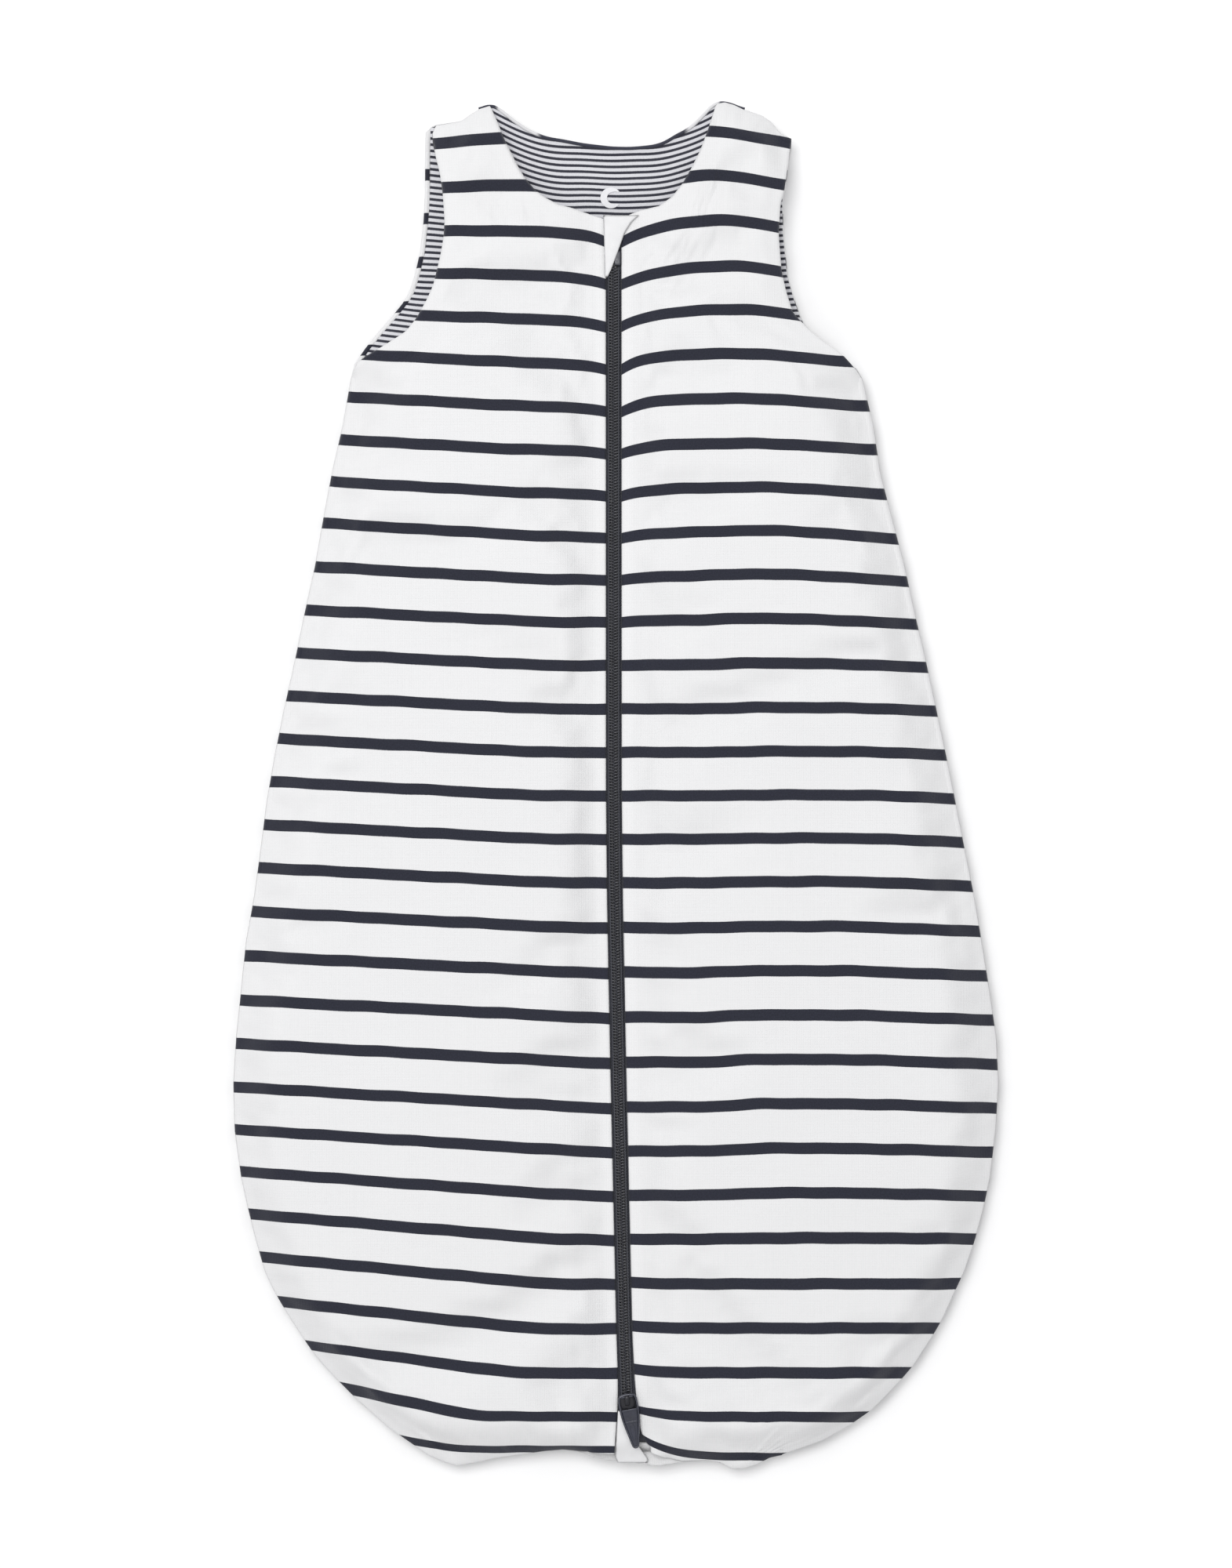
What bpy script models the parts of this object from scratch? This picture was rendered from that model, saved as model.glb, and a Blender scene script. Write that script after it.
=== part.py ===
"""Padded baby sleeping bag, 70 cm long, lying closed on its back with its front up.

The frame has +X across the bag to its right-hand edge in plan, +Y from foot to neck, +Z up,
and the origin under the middle of the bag. Every cloth layer is a closed slab between two
height fields, so layers that lie on one another keep the same facets and a constant gap.
"""

import bpy
import numpy as np

MM = 0.001

# Overall sizes, in millimetres.
FOOT_Y = -349.0
ARMHOLE_Y = 216.0
SHELL_THICK = 0.8
LAYER_GAP = 0.3
WADDING_FULL = 8.0
WADDING_EDGE = 1.0
SEAM_GAP = 0.4
CAVITY_FULL = 10.6
FOLD_CAVITY = 0.25

# The seams lift off the floor by these heights.
SIDE_LIFT = 6.0
FOOT_LIFT = 2.6
SHOULDER_LIFT = 8.0

# Zip: a straight line from neck to foot, as (x, y, height of the tape's underside).
ZIP_NECK = (-1.5, 290.0, 20.0)
ZIP_FOOT = (6.2, -345.0, 15.0)
SHELL_TO_ZIP = 4.6
LINING_TO_ZIP = 5.2
WADDING_TO_ZIP = 13.2
TAPE_INNER, TAPE_OUTER, TAPE_THICK = 1.3, 12.4, 0.6
COIL_INNER, COIL_OUTER, COIL_HEIGHT = 1.05, 3.0, 2.1
ZIP_FLAT = 15.0

# Fold lines of the two flaps, from the shoulder's neck end to the zip's foot: (x, y, z).
LEFT_FOLD = ((-63.5, 347.0, 21.0), (-6.8, -345.0, 18.0))
RIGHT_FOLD = ((52.5, 348.0, 21.0), (19.2, -345.0, 18.0))
FOLD_CUT = 0.3
FOLD_CLEAR = 0.6

# Slider: its middle at rest, and its sizes.
SLIDER_Y = -312.0
SLIDER_LENGTH = 13.0
SLIDER_HALF = 3.85
FLANGE_INNER, FLANGE_OUTER = 3.3, 3.8
PLATE_THICK = 0.9
CROWN_WIDTH = 2.2
PIVOT_HEIGHT = 5.2
BAR_RADIUS = 0.55

# Outlines in plan, as (y, x) from foot to shoulder.
LEFT_EDGE = (
    (-349, -84), (-336, -107), (-321, -125), (-297, -150), (-273, -167), (-249, -180),
    (-201, -191), (-165, -196), (-129, -194), (-81, -189), (-33, -182), (15, -175),
    (63, -164), (112, -154), (160, -145), (208, -136), (224, -131), (240, -115),
    (256, -105), (272, -101), (312, -98), (334, -97),
)
RIGHT_EDGE = (
    (-349, 80), (-336, 108), (-321, 131), (-297, 153), (-273, 168), (-249, 179),
    (-201, 191), (-153, 196), (-105, 191), (-57, 183), (-9, 174), (39, 163),
    (88, 152), (136, 141), (184, 132), (208, 126), (216, 122), (224, 107),
    (240, 95), (256, 92), (288, 85), (312, 88), (329, 89),
)
LEFT_ARMHOLE = (
    (208, -136), (216, -132), (224, -119), (231, -107), (249, -96), (273, -88),
    (306, -89), (332, -93),
)
RIGHT_ARMHOLE = (
    (208, 126), (212, 123), (219, 118), (231, 100), (242, 90), (264, 85), (286, 83),
    (302, 86), (331, 88),
)
# Tops of the panels, as (x, y).
BACK_TOP = (
    (-97, 334), (-80, 338), (-63.5, 347), (-48, 338), (-32, 330), (-1.5, 327),
    (26, 329.5), (39, 337), (52.5, 348), (76, 341), (89, 329),
)
FRONT_TOP = (
    (-94, 332), (-80, 338), (-63.5, 347), (-53, 320), (-39, 302), (-27, 295), (-15, 293),
    (-6, 290), (2, 290), (12, 293.5), (24, 296), (32, 302), (44, 321), (52.5, 348),
    (76, 341), (88, 330),
)

# Rows of the grids, in y up to the armhole, and then as a part of the way to the top.
ROWS = (-349, -343, -332, -316, -297, -273, -240, -200, -150, -95, -40, 15, 70, 125, 170, 200, 216)
TOP_ROWS = (0.14, 0.3, 0.5, 0.72, 0.9, 1.0)
SIDE_COLUMNS = (0.0, 0.06, 0.15, 0.3, 0.5, 0.75, 1.0)

STRIPED_KNIT = ("striped_knit", (0.84, 0.84, 0.85), 0.85, 0.0)
LINING_KNIT = ("lining_knit", (0.62, 0.62, 0.66), 0.85, 0.0)
WADDING = ("wadding_fleece", (0.93, 0.93, 0.92), 0.95, 0.0)
TRIM_CLOTH = ("trim_cloth", (0.88, 0.88, 0.88), 0.8, 0.0)
ZIP_TAPE = ("zip_tape", (0.055, 0.06, 0.08), 0.75, 0.0)
COIL_NYLON = ("coil_nylon", (0.04, 0.042, 0.055), 0.45, 0.0)
ZIP_METAL = ("zip_metal", (0.03, 0.032, 0.045), 0.25, 0.9)
PIN_PLASTIC = ("pin_plastic", (0.035, 0.037, 0.05), 0.35, 0.0)


def smooth(value):
    """Smoothstep of value, held between 0 and 1."""
    held = np.clip(value, 0.0, 1.0)
    return held * held * (3.0 - 2.0 * held)


def along(points, at):
    """Straight-line interpolation through (key, value) pairs that rise in key."""
    keys, values = zip(*points)
    return np.interp(at, keys, values)


def line_x(line, y):
    """X of a straight (x, y, z) line at y."""
    (x0, y0, _), (x1, y1, _) = line
    return x0 + (y - y0) * (x1 - x0) / (y1 - y0)


def line_z(line, y):
    """Height of a straight (x, y, z) line at y."""
    (_, y0, z0), (_, y1, z1) = line
    return z0 + (y - y0) * (z1 - z0) / (y1 - y0)


ZIP = (ZIP_NECK, ZIP_FOOT)


def side_distance(x, y):
    """Distance in x to the nearer outer edge of the bag."""
    return np.minimum(x - along(LEFT_EDGE, y), along(RIGHT_EDGE, y) - x)


def shoulder_distance(x, y):
    """Distance to the nearer shoulder seam."""
    left = np.hypot(np.maximum(x - LEFT_FOLD[0][0], 0.0), along(FRONT_TOP[:3], x) - y)
    right = np.hypot(np.maximum(RIGHT_FOLD[0][0] - x, 0.0), along(FRONT_TOP[-3:], x) - y)
    return np.minimum(left, right)


def back_under(x, y):
    """Underside of the bag: flat on the floor, lifting at the seams."""
    foot = 1.0 - smooth((y - FOOT_Y) / 80.0)
    middle = np.exp(-(((x - ZIP_FOOT[0]) / 50.0) ** 2))
    edge = 1.0 - smooth(side_distance(x, y) / 40.0) * smooth((y - FOOT_Y) / 40.0)
    lift = (SIDE_LIFT + FOOT_LIFT * middle * foot) * edge
    lift = lift * (1.0 - 0.6 * smooth((y - ARMHOLE_Y) / 40.0))
    return lift + SHOULDER_LIFT * smooth((y - 300.0) / 47.0)


def back_wadding(x, y):
    """Thickness of the back's wadding."""
    sides = smooth(side_distance(x, y) / 30.0) * smooth((y - FOOT_Y) / 30.0)
    top = 0.29 + 0.71 * smooth((along(BACK_TOP, x) - y) / 30.0)
    return WADDING_EDGE + (WADDING_FULL - WADDING_EDGE) * sides * top


def back_top(x, y):
    """Upper face of the back's lining."""
    return back_under(x, y) + 2.0 * (SHELL_THICK + LAYER_GAP) + back_wadding(x, y)


def front_wadding(x, y, fold):
    """Thickness of the front's wadding, thin along the fold line and at the zip."""
    sides = smooth(side_distance(x, y) / 30.0) * smooth((y - FOOT_Y) / 30.0)
    top = 0.29 + 0.71 * smooth(shoulder_distance(x, y) / 30.0)
    zip_edge = smooth((np.abs(x - line_x(ZIP, y)) - 11.0) / 16.0)
    room = smooth((np.abs(line_x(fold, y) - line_x(ZIP, y)) - 20.0) / 15.0)
    ridge = 0.29 * room + (1.0 - 0.29 * room) * smooth(np.abs(x - line_x(fold, y)) / 28.0)
    return WADDING_EDGE + (WADDING_FULL - WADDING_EDGE) * sides * top * zip_edge * ridge


def front_under(x, y, fold):
    """Underside of the front's lining, over the sleeping space."""
    armhole = smooth((y - 200.0) / 25.0)
    side = smooth(side_distance(x, y) / 45.0)
    side = side + (1.0 - side) * armhole
    fold_part = FOLD_CAVITY + (1.0 - FOLD_CAVITY) * smooth(np.abs(x - line_x(fold, y)) / 35.0)
    ends = smooth((y - FOOT_Y) / 45.0) * smooth(shoulder_distance(x, y) / 30.0)
    free = back_top(x, y) + SEAM_GAP + CAVITY_FULL * side * ends * fold_part
    at_zip = line_z(ZIP, y) - SHELL_THICK - LAYER_GAP
    near_zip = 1.0 - smooth((np.abs(x - line_x(ZIP, y)) - ZIP_FLAT) / 25.0)
    height = free + (at_zip - free) * near_zip
    stack = 2.0 * (SHELL_THICK + LAYER_GAP) + front_wadding(x, y, fold)
    over = height + stack - (line_z(fold, y) - FOLD_CLEAR)
    return height - np.maximum(over, 0.0) * (1.0 - smooth(np.abs(x - line_x(fold, y)) / 12.0))


def material(node, look):
    """Give the node its own Principled material."""
    name, colour, roughness, metallic = look
    made = bpy.data.materials.new(f"{name}_{node.name}")
    made.use_nodes = True
    shader = made.node_tree.nodes["Principled BSDF"]
    shader.inputs["Base Color"].default_value = (*colour, 1.0)
    shader.inputs["Roughness"].default_value = roughness
    shader.inputs["Metallic"].default_value = metallic
    made.diffuse_color = (*colour, 1.0)
    node.data.materials.append(made)


def add_mesh(name, points, faces, look):
    """Add one closed mesh, its points in millimetres."""
    mesh = bpy.data.meshes.new(name)
    mesh.from_pydata((np.asarray(points) * MM).tolist(), [], faces)
    node = bpy.data.objects.new(name, mesh)
    bpy.context.scene.collection.objects.link(node)
    if look:
        material(node, look)
    return node


def slab(name, x, y, low, high, look):
    """Closed slab over the grid (x, y), rows by columns, between two heights."""
    rows, columns = x.shape
    count = rows * columns
    points = np.concatenate([
        np.stack([x, y, low], axis=-1).reshape(-1, 3),
        np.stack([x, y, high], axis=-1).reshape(-1, 3),
    ])
    faces = []
    for row in range(rows - 1):
        for column in range(columns - 1):
            a = row * columns + column
            b, c, d = a + 1, a + columns + 1, a + columns
            faces += [(a, c, b), (a, d, c)]
            faces += [(a + count, b + count, c + count), (a + count, c + count, d + count)]
    rim = [(0, column) for column in range(columns)]
    rim += [(row, columns - 1) for row in range(1, rows)]
    rim += [(rows - 1, column) for column in range(columns - 2, -1, -1)]
    rim += [(row, 0) for row in range(rows - 2, 0, -1)]
    ring = [row * columns + column for row, column in rim]
    for a, b in zip(ring, ring[1:] + ring[:1]):
        faces += [(a, b, b + count), (a, b + count, a + count)]
    return add_mesh(name, points, faces, look)


def grid_y(top, columns):
    """Y of each grid point: straight rows to the armhole, then rows drawn up to the top edge."""
    low = np.repeat(np.array(ROWS, float)[:, None], columns, axis=1)
    part = np.array(TOP_ROWS)[:, None]
    return np.concatenate([low, ROWS[-1] + (top[None, :] - ROWS[-1]) * part])


def settle(place, top_line, columns):
    """Grid of x and y whose last row lies on top_line, where x depends on y."""
    top = np.full(columns, 330.0)
    for _ in range(12):
        y = grid_y(top, columns)
        x = place(y)
        top = along(top_line, x[-1])
    return x, grid_y(top, columns)


def between(start, end, parts):
    """Columns at the given parts of the way from start to end."""
    return start + (end - start) * parts


def back_grid():
    """Grid of the whole back, with a column on each fold line and on the zip."""
    side = np.array(SIDE_COLUMNS)
    middle = np.array([0.25, 0.5, 1.0])

    def place(y):
        left, right = along(LEFT_EDGE, y), along(RIGHT_EDGE, y)
        fold_left, fold_right, zipped = line_x(LEFT_FOLD, y), line_x(RIGHT_FOLD, y), line_x(ZIP, y)
        parts = [between(left[:, i], fold_left[:, i], f) for i, f in enumerate(side)]
        parts += [between(fold_left[:, 7 + i], zipped[:, 7 + i], f) for i, f in enumerate(middle)]
        back = 1.0 - middle[::-1][1:]
        parts += [between(zipped[:, 10 + i], fold_right[:, 10 + i], f) for i, f in enumerate(back)]
        turned = side[::-1]
        parts += [between(right[:, 12 + i], fold_right[:, 12 + i], f) for i, f in enumerate(turned)]
        return np.stack(parts, axis=1)

    return settle(place, BACK_TOP, 19)


def side_grid(edge, armhole, fold, outward):
    """Grid of a front side panel, from its outer edge to its fold line."""
    side = np.array(SIDE_COLUMNS)

    def place(y):
        outer = np.where(y < 208.0, along(edge, y), along(armhole, y))
        inner = line_x(fold, y) + outward * FOLD_CUT
        return between(outer, inner, side[None, :])

    return settle(place, FRONT_TOP[:3] if outward < 0 else FRONT_TOP[-3:], len(side))


def flap_grid(fold, outward, zip_edge):
    """Grid of a front flap, from its fold line to its edge at the zip."""

    def place(y):
        start = line_x(fold, y) - outward * FOLD_CUT
        end = line_x(ZIP, y) + outward * zip_edge
        width = np.abs(line_x(ZIP, y) - start) - SHELL_TO_ZIP
        band = np.minimum(WADDING_TO_ZIP - SHELL_TO_ZIP, 0.5 * width)
        wad = line_x(ZIP, y) + outward * (SHELL_TO_ZIP + band)
        columns = [start[:, 0], between(start[:, 1], wad[:, 1], 0.3)]
        columns += [between(start[:, 2], wad[:, 2], 0.65), wad[:, 3], end[:, 4]]
        return np.stack(columns, axis=1)

    return settle(place, FRONT_TOP, 5)


def add_back():
    """The back: shell, wadding and lining, and the binding of its neck edge."""
    x, y = back_grid()
    under = back_under(x, y)
    slab("back_shell", x, y, under, under + SHELL_THICK, STRIPED_KNIT)
    low = under + SHELL_THICK + LAYER_GAP
    wadding = low + back_wadding(x, y)
    inner = (slice(1, -1), slice(1, -1))
    slab("back_wadding", x[inner], y[inner], low[inner], wadding[inner], WADDING)
    low = wadding + LAYER_GAP
    slab("back_lining", x, y, low, low + SHELL_THICK, LINING_KNIT)
    edge = slice(6, 13)
    path = np.stack([x[-1, edge], y[-1, edge], low[-1, edge] - 1.8], axis=-1)
    path[:, 1] += 1.3
    path[0, 0] += 1.0
    path[-1, 0] -= 1.0
    tube("neck_binding", path, 0.5, STRIPED_KNIT)


def tube(name, path, half, look):
    """Square cord of the given half width along a path that runs mostly along X."""
    corners = np.array([(-half, -half), (half, -half), (half, half), (-half, half)])
    points = [(px, py + dy, pz + dz) for px, py, pz in path for dy, dz in corners]
    faces = [(0, 3, 2, 1)]
    for ring in range(len(path) - 1):
        a = 4 * ring
        for i in range(4):
            j = (i + 1) % 4
            faces += [(a + i, a + j, a + 4 + j), (a + i, a + 4 + j, a + 4 + i)]
    end = 4 * (len(path) - 1)
    faces.append((end, end + 1, end + 2, end + 3))
    return add_mesh(name, points, faces, look)


def layers(name, grid, fold, lining_grid, wadding_rows, wadding_columns):
    """The lining, wadding and shell of one front panel."""
    x, y = grid
    under = front_under(x, y, fold)
    fill = front_wadding(x, y, fold)
    low = under + SHELL_THICK + LAYER_GAP
    part = (wadding_rows, wadding_columns)
    slab(f"{name}_wadding", x[part], y[part], low[part], (low + fill)[part], WADDING)
    high = low + fill + LAYER_GAP
    slab(f"{name}_shell", x, y, high, high + SHELL_THICK, STRIPED_KNIT)
    x, y = lining_grid
    under = front_under(x, y, fold)
    slab(f"{name}_lining", x, y, under, under + SHELL_THICK, LINING_KNIT)


def add_front():
    """The two front side panels and the two flaps that fold back from the zip."""
    for word, outward, edge, armhole, fold in (
        ("left", -1, LEFT_EDGE, LEFT_ARMHOLE, LEFT_FOLD),
        ("right", 1, RIGHT_EDGE, RIGHT_ARMHOLE, RIGHT_FOLD),
    ):
        x, y = side_grid(edge, armhole, fold, outward)
        if outward > 0:
            x, y = x[:, ::-1], y[:, ::-1]
        inner = slice(1, None) if outward < 0 else slice(0, -1)
        layers(f"{word}_side", (x, y), fold, (x, y), slice(1, -1), inner)
        grids = []
        for zip_edge in (SHELL_TO_ZIP, LINING_TO_ZIP):
            x, y = flap_grid(fold, outward, zip_edge)
            grids.append((x, y) if outward < 0 else (x[:, ::-1], y[:, ::-1]))
        inner = slice(0, 4) if outward < 0 else slice(1, 5)
        layers(f"{word}_flap", grids[0], fold, grids[1], slice(7, -1), inner)


def strip(name, inner, outer, low, high, y_from, y_to, look):
    """Straight strip beside the zip line, between two offsets in x and two heights above it."""
    y = np.array([[y_from, y_from], [y_to, y_to]], float)
    x = line_x(ZIP, y) + np.array([[inner, outer]])
    z = line_z(ZIP, y)
    return slab(name, x, y, z + low, z + high, look)


def add_zip():
    """Tapes, coil rows, stops, box and pin, and the cloth pieces at the zip."""
    coil_low = TAPE_THICK + 0.1
    coil_high = coil_low + COIL_HEIGHT
    for word, side in (("left", -1), ("right", 1)):
        def ends(inner, outer):
            return (side * inner, side * outer) if side > 0 else (side * outer, side * inner)
        strip(f"zip_tape_{word}", *ends(TAPE_INNER, TAPE_OUTER), 0.0, TAPE_THICK,
              -345.0, 284.0, ZIP_TAPE)
        strip(f"zip_coil_{word}", *ends(COIL_INNER, COIL_OUTER), coil_low, coil_high,
              -323.0, 264.0, COIL_NYLON)
        strip(f"zip_stop_{word}", *ends(1.2, 3.1), coil_low, coil_low + 1.3,
              -327.0, -323.6, ZIP_METAL)
    strip("zip_box", 0.25, 3.6, coil_low, coil_high + 0.3, 264.6, 272.0, PIN_PLASTIC)
    strip("zip_pin", -2.4, -0.25, coil_low, coil_high, 264.6, 274.0, PIN_PLASTIC)
    strip("zip_underlap", -12.0, 14.0, -2.4, -1.5, -344.0, 282.0, TRIM_CLOTH)
    strip("zip_foot_stay", -4.1, 4.1, 0.9, 1.7, -346.0, -330.0, TRIM_CLOTH)
    y = np.array([[258.0, 258.0, 258.0], [276.0, 276.0, 276.0], [289.0, 289.0, 289.0]])
    x = line_x(ZIP, y) + np.array([[-4.2, -2.2, -1.0], [-4.2, 0.5, 4.0], [-4.2, 1.5, 6.5]])
    z = line_z(ZIP, y) + coil_high
    slab("top_guard", x, y, z + 0.6, z + 1.5, TRIM_CLOTH)


def box(name, x, y, z, look=None):
    """Box between two values on each axis, in the slider's own frame."""
    points = [(x[i], y[j], z[k]) for k in (0, 1) for j in (0, 1) for i in (0, 1)]
    faces = [(0, 2, 3, 1), (4, 5, 7, 6), (0, 1, 5, 4), (1, 3, 7, 5), (3, 2, 6, 7), (2, 0, 4, 6)]
    return add_mesh(name, points, faces, look)


def prism(name, outline, z, look=None):
    """Prism over a closed outline in plan, between two heights."""
    count = len(outline)
    points = [(px, py, z[0]) for px, py in outline] + [(px, py, z[1]) for px, py in outline]
    faces = [tuple(range(count - 1, -1, -1)), tuple(range(count, 2 * count))]
    faces += [(i, (i + 1) % count, (i + 1) % count + count, i + count) for i in range(count)]
    return add_mesh(name, points, faces, look)


def combine(node, other, operation):
    """Join or cut the node with a hidden helper."""
    other.hide_render = True
    other.display_type = "WIRE"
    step = node.modifiers.new(other.name, "BOOLEAN")
    step.operation = operation
    step.object = other
    step.solver = "EXACT"


def to_slider(*nodes):
    """Turn nodes built in the slider's own frame to its place on the zip line."""
    start, end = np.array(ZIP_FOOT), np.array(ZIP_NECK)
    run = (end - start) / np.linalg.norm(end - start)
    across = np.cross(run, (0.0, 0.0, 1.0))
    across /= np.linalg.norm(across)
    turn = np.stack([across, run, np.cross(across, run)], axis=1)
    place = np.array([line_x(ZIP, SLIDER_Y), SLIDER_Y, line_z(ZIP, SLIDER_Y)])
    for node in nodes:
        points = np.empty(len(node.data.vertices) * 3)
        node.data.vertices.foreach_get("co", points)
        points = points.reshape(-1, 3) @ turn.T + place * MM
        node.data.vertices.foreach_set("co", points.ravel())


def add_slider():
    """The slider's body, crown and puller, with the puller hanging towards the foot."""
    half = SLIDER_LENGTH / 2.0
    plate_low = TAPE_THICK + 0.1 + COIL_HEIGHT + 0.3
    plate_high = plate_low + PLATE_THICK
    plan = [(-3.1, -half), (3.1, -half), (SLIDER_HALF, -half + 1.2), (SLIDER_HALF, 2.0)]
    plan += [(3.4, 5.0), (2.2, half), (-2.2, half), (-3.4, 5.0), (-SLIDER_HALF, 2.0)]
    plan += [(-SLIDER_HALF, -half + 1.2)]
    body = prism("slider_body", plan, (plate_low, plate_high), ZIP_METAL)
    helpers = [
        prism("slider_lower_plate", plan, (-0.3 - PLATE_THICK, -0.3)),
        box("slider_post", (-0.7, 0.7), (-6.0, -2.6), (-0.7, plate_low + 0.4)),
    ]
    for side in (-1, 1):
        x = sorted((side * FLANGE_INNER, side * FLANGE_OUTER))
        helpers.append(box("slider_flange", x, (-half + 1.4, 1.8), (TAPE_THICK + 0.3, plate_low + 0.4)))
    for helper in helpers:
        combine(body, helper, "UNION")
    side = CROWN_WIDTH / 2.0
    crown = box("slider_crown", (-side, side), (-4.0, 4.0), (plate_high + 0.3, PIVOT_HEIGHT + 1.7), ZIP_METAL)
    arch = box("crown_arch", (-2.0, 2.0), (-3.0, 3.0), (plate_high, PIVOT_HEIGHT + 0.9))
    combine(crown, arch, "DIFFERENCE")
    outline = [(4.4, 0.6), (4.4, -4.5), (3.6, -7.6), (2.3, -10.5), (2.3, -13.0), (3.5, -16.5)]
    outline += [(3.9, -21.0), (3.2, -25.2), (1.4, -27.3)]
    outline = [(-px, py) for px, py in outline] + outline[::-1]
    thick = (PIVOT_HEIGHT - BAR_RADIUS, PIVOT_HEIGHT + BAR_RADIUS)
    puller = prism("puller", outline, thick, ZIP_METAL)
    eye = box("puller_eye", (-2.4, 2.4), (-5.8, -BAR_RADIUS), (2.0, 9.0))
    slot = box("puller_slot", (-0.9, 0.9), (-21.5, -16.0), (2.0, 9.0))
    combine(puller, eye, "DIFFERENCE")
    combine(puller, slot, "DIFFERENCE")
    to_slider(body, crown, puller, arch, eye, slot, *helpers)


def main():
    """Clear the scene and add every node."""
    for old in list(bpy.data.objects):
        bpy.data.objects.remove(old)
    add_back()
    add_front()
    add_zip()
    add_slider()


main()
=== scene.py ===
"""Padded baby sleeping bag, 70 cm long: its striped cloth, linings, zip and slider.

The bag lies closed on its back with its front up. X runs across the bag, Y from the foot to the
neck and Z up. Sizes in the fields below are millimetres, and the meshes are in metres.
"""

from __future__ import annotations

import logging
from dataclasses import dataclass, field
from enum import Enum

import bmesh
import bpy
import numpy as np
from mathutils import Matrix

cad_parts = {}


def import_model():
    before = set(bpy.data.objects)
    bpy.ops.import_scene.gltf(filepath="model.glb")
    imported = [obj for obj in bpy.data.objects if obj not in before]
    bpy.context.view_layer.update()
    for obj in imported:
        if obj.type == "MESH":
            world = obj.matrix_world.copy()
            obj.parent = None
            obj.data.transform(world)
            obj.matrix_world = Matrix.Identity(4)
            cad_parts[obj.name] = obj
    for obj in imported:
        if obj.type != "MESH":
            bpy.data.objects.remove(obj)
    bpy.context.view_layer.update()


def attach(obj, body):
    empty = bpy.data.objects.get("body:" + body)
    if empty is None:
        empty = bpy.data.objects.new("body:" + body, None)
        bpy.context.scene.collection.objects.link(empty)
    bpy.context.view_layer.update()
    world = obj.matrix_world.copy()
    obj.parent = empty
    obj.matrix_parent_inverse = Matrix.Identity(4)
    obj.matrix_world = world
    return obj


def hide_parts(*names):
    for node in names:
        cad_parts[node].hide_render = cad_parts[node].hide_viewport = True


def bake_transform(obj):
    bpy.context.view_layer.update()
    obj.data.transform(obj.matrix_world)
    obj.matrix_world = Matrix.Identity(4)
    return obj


LOG = logging.getLogger("sleeping_bag")
MM = 0.001
Points = tuple[tuple[float, ...], ...]
Array = np.ndarray


class Side(Enum):
    """A half of the front, by its direction from the zip in X."""

    LEFT = -1
    RIGHT = 1

    @property
    def word(self) -> str:
        """Name of the side as it is used in the names of pieces."""
        return self.name.lower()


# ---------------------------------------------------------------- shapes in numbers


def smooth(value: Array) -> Array:
    """Smoothstep of value, held between 0 and 1: 3t^2 - 2t^3."""
    held = np.clip(value, 0.0, 1.0)
    return held * held * (3.0 - 2.0 * held)


def rounded(part: Array) -> Array:
    """Quarter circle: rises steeply from 0 at part 0 and runs level into 1 at part 1."""
    left = 1.0 - np.clip(part, 0.0, 1.0)
    return np.sqrt(1.0 - left * left)


def soft_limit(value: Array, limit: float, width: float) -> Array:
    """Value where it is well below the limit, bending smoothly to the limit above it."""
    return limit - width * np.logaddexp(0.0, (limit - value) / width)


def along(points: Points, at: Array) -> Array:
    """Straight-line interpolation through (key, value) pairs that rise in key."""
    keys, values = zip(*points)
    return np.interp(at, keys, values)


def run_distance(x: Array, y: Array, run: Array) -> tuple[Array, Array]:
    """Nearest distance to a run of straight pieces.

    Args:
        x, y: the points.
        run: the corners of the run, one row each.

    Returns:
        The distance of each point, and how far along the run its nearest place is.
    """
    best = np.full(x.shape, 1e9)
    place = np.zeros(x.shape)
    start = 0.0
    for (x0, y0), (x1, y1) in zip(run[:-1], run[1:]):
        length = float(np.hypot(x1 - x0, y1 - y0))
        if length < 1e-6:
            continue
        part = ((x - x0) * (x1 - x0) + (y - y0) * (y1 - y0)) / length**2
        part = np.clip(part, 0.0, 1.0)
        away = np.hypot(x - x0 - part * (x1 - x0), y - y0 - part * (y1 - y0))
        nearer = away < best
        best = np.where(nearer, away, best)
        place = np.where(nearer, start + part * length, place)
        start += length
    return best, place


def ripple(place: Array, lengths: tuple[float, ...], seed: int) -> Array:
    """Sum of sine waves of the given lengths, each with its own phase, scaled to about 1.

    Args:
        place: distance along the waves.
        lengths: length of each wave.
        seed: seed of the phases.

    Returns:
        The sum at each place, divided by the number of waves.
    """
    phases = np.random.default_rng(seed).uniform(0.0, 2.0 * np.pi, len(lengths))
    waves = [np.sin(2.0 * np.pi * place / step + turn) for step, turn in zip(lengths, phases)]
    return sum(waves) / len(lengths)


def signed_power(wave: Array, power: float) -> Array:
    """Size of a wave raised to a power, with the wave's own sign."""
    return np.sign(wave) * np.abs(wave) ** power


# ---------------------------------------------------------------- meshes


def grid_quads(index: Array) -> Array:
    """Quads of a grid of point numbers, facing up where X rises by column and Y by row."""
    corners = (index[:-1, :-1], index[:-1, 1:], index[1:, 1:], index[1:, :-1])
    return np.stack(corners, axis=-1).reshape(-1, 4)


def wrapped_grid(rows: int, columns: int) -> Array:
    """Point numbers of a grid whose last column runs on into its first."""
    index = np.arange(rows * columns).reshape(rows, columns)
    return np.concatenate([index, index[:, :1]], axis=1)


def both_faces(grid: Array) -> Array:
    """Values of a grid at a closed sheet's points: its upper face, then the lower one's inside."""
    return np.concatenate([grid.ravel(), grid[1:-1, 1:-1].ravel()])


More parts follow.
